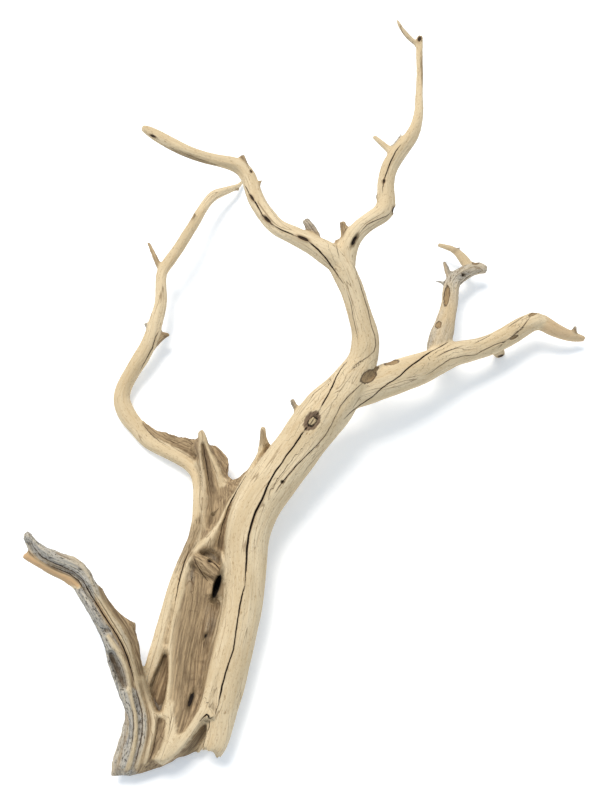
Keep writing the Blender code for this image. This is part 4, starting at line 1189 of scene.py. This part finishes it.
# %% Which strand each point belongs to
# One strand's colours pass into the next one's over this distance
COLOUR_BLEND = 0.0010
wood_gap, wood_place = strand_table(wood_points)
owner = wood_gap.argmin(axis=1)
share = np.exp(-(wood_gap - wood_gap.min(axis=1, keepdims=True)) / COLOUR_BLEND)
share /= share.sum(axis=1, keepdims=True)
brownness = share @ np.array([STRANDS[name][3] for name in names])
greyness = share @ np.array([STRANDS[name][4] for name in names])
owner_place = np.take_along_axis(wood_place, owner[:, None, None], axis=1)[:, 0]
radius_here = thickest[owner]
print("mean brown", round(float(brownness.mean()), 2), "mean grey", round(float(greyness.mean()), 2))

# %% Push the relief into the points
# How far each kind of wave moves the surface: ridges along the grain, broad swells, and roughness
RIDGE = 0.00030
SWELL = 0.00035
ROUGH_PALE = 0.00006
ROUGH_TORN = 0.00022
# How often each comes along the limb, and the size of the rough spots
RIDGE_REPEAT = 0.035
SWELL_REPEAT = 0.016
ROUGH_SIZE = 0.0022
# Ridges are most on a limb as thick as the trunk, and waves are held back on limbs thinner than this
TRUNK_RADIUS = 0.018
THIN_LIMB = 0.006


def with_relief(points, faces, tree):
    """Ridges, then knots, pits and cracks, each moved along the point's own normal.

    A ring knot is a rim, a low heart and a sharp ring cut between them. A dark knot is a bowl with a
    rim, a patch is a rough dent, a pit is a deep bowl, and a crack is depth * (1 - (2 across / width)^2).
    """
    normal = normals_of(points, faces)
    angle = np.arctan2(owner_place[:, 2], owner_place[:, 1])
    turns = np.stack([np.cos(angle), np.sin(angle)])
    along = owner_place[:, 0]
    ridge_count = 3 + 9 * (radius_here / TRUNK_RADIUS)
    ridges = waves(21, ridge_count * turns[0], ridge_count * turns[1], along / RIDGE_REPEAT, owner * 1.7)
    broad = waves(22, 2.2 * turns[0], 2.2 * turns[1], along / SWELL_REPEAT, owner * 2.3)
    rough = waves(23, *(points / ROUGH_SIZE).T, octaves=2)
    hollow = np.minimum(brownness, 1) + 0.7 * greyness
    thin = np.clip(radius_here / THIN_LIMB, 0.35, 1)
    push = thin * (RIDGE * ridges + SWELL * broad) + (ROUGH_PALE + ROUGH_TORN * hollow) * rough
    points = points + push[:, None] * normal
    reach, chosen = mark_table(points, tree)
    kind = mark_kinds[chosen]
    bowl = np.clip(1 - reach ** 2, 0, 1)
    rim = np.exp(-((reach - 1.25) / 0.35) ** 2)
    ring = (kind == RING_KNOT) * (0.5 * rim - 0.5 * bowl ** 0.5 - np.exp(-((reach - 0.55) / 0.12) ** 2))
    dark = (kind == DARK_KNOT) * (0.35 * rim - bowl)
    patch = (kind == BROWN_PATCH) * (0.2 * rim - np.sqrt(bowl) * (0.8 + 0.3 * rough))
    pit = (kind == PIT) * (0.05 * rim - np.sqrt(bowl))
    points = points + ((ring + dark + patch + pit) * mark_depths[chosen])[:, None] * normal
    across, width, crack_depth = crack_table(points)
    inside = np.clip(1 - (2 * np.abs(across) / np.maximum(width, 1e-5)) ** 2, 0, 1)
    points = points - (inside * crack_depth)[:, None] * normal
    return points, reach, chosen, across, width


shaped_points, mark_reach, mark_number, crack_across, crack_width = with_relief(
    wood_points, wood_faces, wood_tree(wood_points, wood_faces)
)
print("largest move mm", round(float(np.abs(shaped_points - wood_points).max() * 1000), 2))

# %% Rest it on the floor
shaped_points[:, 2] = np.maximum(shaped_points[:, 2], 0.0)
print("box", shaped_points.min(0).round(4), shaped_points.max(0).round(4))

# %% [markdown]
# ## The wood's mesh and what the material reads
#
# The grain must run along every limb, so each face keeps its place along and across its own
# limb in an attribute. Others say how brown, grey or tan the wood is, and where marks and cracks are.

# %% Make the wood


def point_values(mesh, name, values):
    """Store one number for each point."""
    layer = mesh.attributes.new(name, "FLOAT", "POINT")
    layer.data.foreach_set("value", np.asarray(values, np.float32))


def corner_vectors(mesh, name, values):
    """Store one vector for each corner of each face."""
    layer = mesh.attributes.new(name, "FLOAT_VECTOR", "CORNER")
    layer.data.foreach_set("vector", np.asarray(values, np.float32).ravel())


# Each strand's pattern is moved on by this many millimetres, so that no two limbs share one
PATTERN_SHIFT = 37.0
# A hollow this deep counts as fully sunk, and gets the darkest painted shade
FULL_CAVITY = 0.0010
grain_names = list(GRAIN_LINES)
grain_number = np.array([
    len(names) + grain_names.index(LINES[name][0]) if name in LINES else number
    for number, name in enumerate(names)
])


def wood_object():
    """The finished wood: the shaped points and faces, shaded smooth, with all its attributes."""
    wood = mesh_object("driftwood_wood", shaped_points, wood_faces)
    mesh = wood.data
    mesh.shade_smooth()
    face_gap = wood_gap[wood_faces].mean(axis=1)
    face_owner = face_gap.argmin(axis=1)
    corner_owner = np.repeat(face_owner, 3)
    corner_point = wood_faces.ravel()
    limb_place = wood_place[corner_point, corner_owner] * 1000.0
    limb_place[:, 0] += grain_number[corner_owner] * PATTERN_SHIFT
    corner_vectors(mesh, "limb_place", limb_place)
    point_values(mesh, "brown", brownness)
    point_values(mesh, "grey", greyness)
    normal = normals_of(shaped_points, wood_faces)
    smooth = averaged(shaped_points, edges_of(wood_faces), rounds=12, amount=0.7)
    sunk = np.einsum("ij,ij->i", smooth - shaped_points, normal) / FULL_CAVITY
    point_values(mesh, "cavity", np.clip(sunk, -1, 1))
    point_values(mesh, "mark_reach", np.minimum(mark_reach, 3.0))
    point_values(mesh, "mark_kind", mark_kinds[mark_number])
    point_values(mesh, "crack_across", crack_across * 1000)
    point_values(mesh, "crack_width", crack_width * 1000)
    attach(wood, "root")
    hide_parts("driftwood")
    return wood


wood = wood_object()
print("wood faces", len(wood.data.polygons))

# %% [markdown]
# ## Dry sandblasted wood
#
# Driftwood has no bark and no varnish: salt, sun and sand leave a matt pale fibre, rough to the
# touch. The grain is long thin streaks along each limb. Torn hollows keep the darker brown heart
# wood, and the horn that stood in the weather longest has turned grey. Hollows, grooves, cracks and
# pits also get painted shade.

# %% Colours and nodes


def linear(hex_colour):
    """An sRGB hex colour as linear numbers: c / 12.92 below 0.04045, else ((c + 0.055) / 1.055) ^ 2.4."""
    parts = [int(hex_colour[place:place + 2], 16) / 255 for place in (1, 3, 5)]
    return [part / 12.92 if part <= 0.04045 else ((part + 0.055) / 1.055) ** 2.4 for part in parts] + [1.0]


def add(tree, kind, settings, inputs):
    """Add a node: set its settings, then give each input a source to read, a hex colour or a number."""
    node = tree.nodes.new(kind)
    for key, value in settings.items():
        setattr(node, key, value)
    for key, value in inputs.items():
        if isinstance(value, bpy.types.NodeSocket):
            tree.links.new(value, node.inputs[key])
        elif isinstance(value, str):
            node.inputs[key].default_value = linear(value)
        else:
            node.inputs[key].default_value = value
    return node.outputs


# %% The wood's patterns
# name: how long and how wide its spots are (mm), detail, roughness
# Real fibres and grains of dirt are finer than a pixel, so fibres and grit are as coarse as they need to show
PATTERNS = {
    "patches": (45.0, 12.0, 2.0, 0.5),
    "streaks": (30.0, 1.4, 3.0, 0.6),
    "fibres": (9.0, 0.7, 2.0, 0.6),
    "checks": (80.0, 6.0, 1.0, 0.5),
    "grit": (2.4, 1.3, 3.0, 0.7),
    "dashes": (5.0, 1.1, 2.0, 0.6),
    "blotches": (4.5, 2.6, 2.0, 0.6),
}
SMOOTH = {"interpolation_type": "SMOOTHSTEP"}
MIX = {"data_type": "RGBA", "clamp_factor": True}
TIMES = {"operation": "MULTIPLY"}
PLUS = {"operation": "ADD"}
TIMES_PLUS = {"operation": "MULTIPLY_ADD"}


def wood_patterns(tree):
    """Each pattern as noise on the limb's own place, stretched along its grain."""
    place = add(tree, "ShaderNodeAttribute", {"attribute_name": "limb_place"}, {})[1]
    found = {}
    for name, (long, wide, detail, roughness) in PATTERNS.items():
        stretch = add(tree, "ShaderNodeMapping", {}, {0: place, 3: (1 / long, 1 / wide, 1 / wide)})[0]
        found[name] = add(tree, "ShaderNodeTexNoise", {}, {0: stretch, 2: 1.0, 3: detail, 4: roughness})[0]
    return found


def layered(tree, colour, layers):
    """Lay tints over a colour. A layer grows with its reading from nothing at start to most at end."""
    for reading, start, end, most, tint in layers:
        amount = add(tree, "ShaderNodeMapRange", SMOOTH, {0: reading, 1: start, 2: end, 4: most})[0]
        colour = add(tree, "ShaderNodeMix", MIX, {0: amount, 6: colour, 7: tint})[2]
    return colour


def wood_colours(tree, look, value):
    """Pale, brown and grey wood, each mixed from tones along its grain, then laid over each other."""
    pale = layered(tree, "#D2BE9B", [
        (look["patches"], 0.32, 0.68, 1.0, "#E1CFAE"),
        (look["streaks"], 0.50, 0.34, 0.30, "#BC9E74"),
        (look["dashes"], 0.38, 0.29, 0.65, "#957752"),
        (look["fibres"], 0.58, 0.70, 0.35, "#ECE0C8"),
        (look["grit"], 0.43, 0.34, 0.45, "#A98C66"),
        (value["grey"], -0.1, -0.8, 0.85, "#CBA67C"),
    ])
    bark = layered(tree, "#7E6A52", [
        (look["streaks"], 0.32, 0.66, 1.0, "#BDA582"),
        (look["fibres"], 0.44, 0.30, 0.55, "#55432F"),
    ])
    stone = layered(tree, "#8C8A87", [
        (look["streaks"], 0.32, 0.66, 1.0, "#C9C2B6"),
        (look["grit"], 0.49, 0.39, 0.9, "#3F3B37"),
        (look["fibres"], 0.52, 0.62, 0.6, "#CFC4AC"),
    ])
    browner = add(tree, "ShaderNodeMath", TIMES_PLUS, {0: look["streaks"], 1: 0.5, 2: value["brown"]})[0]
    greyer = add(tree, "ShaderNodeMath", TIMES_PLUS, {0: look["patches"], 1: 0.9, 2: value["grey"]})[0]
    return layered(tree, pale, [
        (browner, 0.40, 1.05, 1.0, bark),
        # brown above 1 is painted darker still: partly brown heart wood, partly painted shade in the grooves
        # and caves that carry such values
        (value["brown"], 0.95, 1.9, 0.85, "#46382D"),
        (greyer, 0.70, 1.25, 1.0, stone),
    ])


def checks_and_hollow_shade(tree, look, value, colour):
    """Hairline checks along the grain, and painted shade in what lies deep."""
    away = add(tree, "ShaderNodeMath", PLUS, {0: look["checks"], 1: -0.5})[0]
    away = add(tree, "ShaderNodeMath", {"operation": "ABSOLUTE"}, {0: away})[0]
    hair = add(tree, "ShaderNodeMapRange", SMOOTH, {0: away, 1: 0.016, 2: 0.004, 4: 0.6})[0]
    some = add(tree, "ShaderNodeMapRange", SMOOTH, {0: look["patches"], 1: 0.46, 2: 0.56})[0]
    hair = add(tree, "ShaderNodeMath", TIMES, {0: hair, 1: some})[0]
    colour = add(tree, "ShaderNodeMix", MIX, {0: hair, 6: colour, 7: "#7B6144"})[2]
    # painted shade: the deeper a point lies in a hollow, the darker it is painted
    return layered(tree, colour, [(value["cavity"], 0.10, 0.9, 0.60, "#55442F")]), hair


# A ring of colour in a mark: (kind, outer edge, inner edge, strength, tint)
RINGS = [
    (RING_KNOT, 1.08, 0.90, 0.90, "#6E5948"),
    (RING_KNOT, 0.60, 0.53, 0.95, "#1F1610"),
    (RING_KNOT, 0.44, 0.36, 1.0, "#CDB892"),
    (DARK_KNOT, 1.80, 1.00, 0.55, "#856A4D"),
    (DARK_KNOT, 1.05, 0.75, 0.95, "#33251B"),
    (BROWN_PATCH, 1.12, 1.00, 0.90, "#4B3A2B"),
    (BROWN_PATCH, 0.96, 0.78, 0.92, "#A38A67"),
    # a dark brown ring round each pit: partly stain, partly painted shade at the hole's rim
    (PIT, 2.00, 1.00, 0.80, "#54452F"),
    # painted shade: a pit's inside is painted near black
    (PIT, 1.00, 0.78, 1.0, "#17110D"),
    # a stain's tint, which is painted shade where such a mark lies on a shaded side
    (STAIN_AND_SHADE, 1.20, 0.40, 0.65, "#927B5D"),
]


def marked(tree, look, value, colour):
    """Knots, patches, pits, stains and painted shade, each by how far out a point lies in its ragged mark."""
    ragged = add(tree, "ShaderNodeMath", TIMES_PLUS, {0: look["fibres"], 1: 0.35, 2: value["mark_reach"]})[0]
    ragged = add(tree, "ShaderNodeMath", TIMES_PLUS, {0: look["blotches"], 1: 0.45, 2: ragged})[0]
    ragged = add(tree, "ShaderNodeMath", PLUS, {0: ragged, 1: -0.4})[0]
    kind_read = value["mark_kind"]
    for kind, outer, inner, strength, tint in RINGS:
        chosen = add(tree, "ShaderNodeMath", {"operation": "COMPARE"}, {0: kind_read, 1: kind, 2: 0.4})[0]
        inside = add(tree, "ShaderNodeMapRange", SMOOTH, {0: ragged, 1: outer, 2: inner, 4: strength})[0]
        amount = add(tree, "ShaderNodeMath", TIMES, {0: chosen, 1: inside})[0]
        colour = add(tree, "ShaderNodeMix", MIX, {0: amount, 6: colour, 7: tint})[2]
    inside = add(tree, "ShaderNodeMapRange", SMOOTH, {0: ragged, 1: 1.05, 2: 0.80})[0]
    fleck = add(tree, "ShaderNodeMapRange", SMOOTH, {0: look["fibres"], 1: 0.50, 2: 0.38, 4: 0.55})[0]
    fleck = add(tree, "ShaderNodeMath", TIMES, {0: fleck, 1: inside})[0]
    return add(tree, "ShaderNodeMix", MIX, {0: fleck, 6: colour, 7: "#3B2D21"})[2]


def cracked(tree, look, value, colour):
    """Painted shade inside a crack: dark where its distance across less half its width is below nothing."""
    across = add(tree, "ShaderNodeMath", {"operation": "ABSOLUTE"}, {0: value["crack_across"]})[0]
    edge = add(tree, "ShaderNodeMath", TIMES_PLUS, {0: value["crack_width"], 1: -0.5, 2: across})[0]
    edge = add(tree, "ShaderNodeMath", TIMES_PLUS, {0: look["fibres"], 1: 0.2, 2: edge})[0]
    real = add(tree, "ShaderNodeMapRange", SMOOTH, {0: value["crack_width"], 1: 0.05, 2: 0.35})[0]
    stain = add(tree, "ShaderNodeMapRange", SMOOTH, {0: edge, 1: 0.9, 2: 0.1, 4: 0.35})[0]
    stain = add(tree, "ShaderNodeMath", TIMES, {0: stain, 1: real})[0]
    colour = add(tree, "ShaderNodeMix", MIX, {0: stain, 6: colour, 7: "#7A6248"})[2]
    # painted shade: the bottom of each crack is painted near black
    split = add(tree, "ShaderNodeMapRange", SMOOTH, {0: edge, 1: 0.22, 2: -0.02})[0]
    split = add(tree, "ShaderNodeMath", TIMES, {0: split, 1: real})[0]
    return add(tree, "ShaderNodeMix", MIX, {0: split, 6: colour, 7: "#2A1B11"})[2], split


# %% The wood material


def driftwood_material():
    """Sun-bleached driftwood: long fine grain, brown torn hollows, grey weathering, knots, cracks."""
    material = bpy.data.materials.new("sandblasted_driftwood")
    material.use_nodes = True
    tree = material.node_tree
    shader = tree.nodes["Principled BSDF"]
    kinds = ["brown", "grey", "cavity", "mark_reach", "mark_kind", "crack_across", "crack_width"]
    value = {name: add(tree, "ShaderNodeAttribute", {"attribute_name": name}, {})[2] for name in kinds}
    look = wood_patterns(tree)
    colour = wood_colours(tree, look, value)
    colour, hair = checks_and_hollow_shade(tree, look, value, colour)
    colour = marked(tree, look, value, colour)
    colour, split = cracked(tree, look, value, colour)
    height = look["grit"]
    for reading, weight in [(look["streaks"], 0.8), (look["fibres"], 0.6), (hair, -0.5), (split, -1.0)]:
        height = add(tree, "ShaderNodeMath", TIMES_PLUS, {0: reading, 1: weight, 2: height})[0]
    bump = add(tree, "ShaderNodeBump", {}, {"Strength": 0.8, "Distance": 0.0007, "Height": height})[0]
    tree.links.new(bump, shader.inputs["Normal"])
    tree.links.new(colour, shader.inputs["Base Color"])
    shader.inputs["Roughness"].default_value = 0.86
    shader.inputs["Specular IOR Level"].default_value = 0.25
    return material


wood.data.materials.append(driftwood_material())
print("materials", [material.name for material in wood.data.materials])

# %% [markdown]
# ## Floor and light
#
# The wood lies on a white table under a wide soft light from the upper left, so its shadows are
# faint, a little blue, and fall to the right and towards the viewer. The table itself glows a
# little bluish, which lightens and tints those shadows and lights the wood from below.

# %% The floor


def white_floor():
    """A wide flat white surface just under the wood, which glows a little bluish: painted light that lifts
    and tints its shadows and lights the wood from below.
    """
    corners = 3.0 * np.array([(-1, -1, 0), (1, -1, 0), (1, 1, 0), (-1, 1, 0)])
    floor = mesh_object("floor", corners, np.array([(0, 1, 2), (0, 2, 3)]))
    material = bpy.data.materials.new("glowing_white_table")
    material.use_nodes = True
    shader = material.node_tree.nodes["Principled BSDF"]
    shader.inputs["Base Color"].default_value = linear("#FBFCFE")
    shader.inputs["Roughness"].default_value = 0.9
    # painted light: the floor glows though it is no lamp, lifting its shadows and lighting the wood from
    # below
    shader.inputs["Emission Color"].default_value = linear("#E6F1FF")
    shader.inputs["Emission Strength"].default_value = 0.26
    floor.data.materials.append(material)
    return floor


floor = white_floor()
print("floor faces", len(floor.data.polygons))

# %% The light


def soft_light(name, place, aim, size, power, colour):
    """A square light of a given side, turned to face a point."""
    data = bpy.data.lights.new(name, "AREA")
    data.shape = "SQUARE"
    data.size = size
    data.energy = power
    data.color = linear(colour)[:3]
    light = bpy.data.objects.new(name, data)
    light.location = place
    light.rotation_euler = (Vector(aim) - Vector(place)).to_track_quat("-Z", "Y").to_euler()
    bpy.context.collection.objects.link(light)
    return light


soft_light("key_window", (-0.75, 1.15, 3.0), (0, 0, 0), 1.4, 90.0, "#FFF6EA")
world = bpy.data.worlds.new("white_room")
world.use_nodes = True
background = world.node_tree.nodes["Background"]
background.inputs["Color"].default_value = linear("#E6F0F8")
background.inputs["Strength"].default_value = 0.64
bpy.context.scene.world = world
bpy.context.scene.view_settings.view_transform = "Standard"
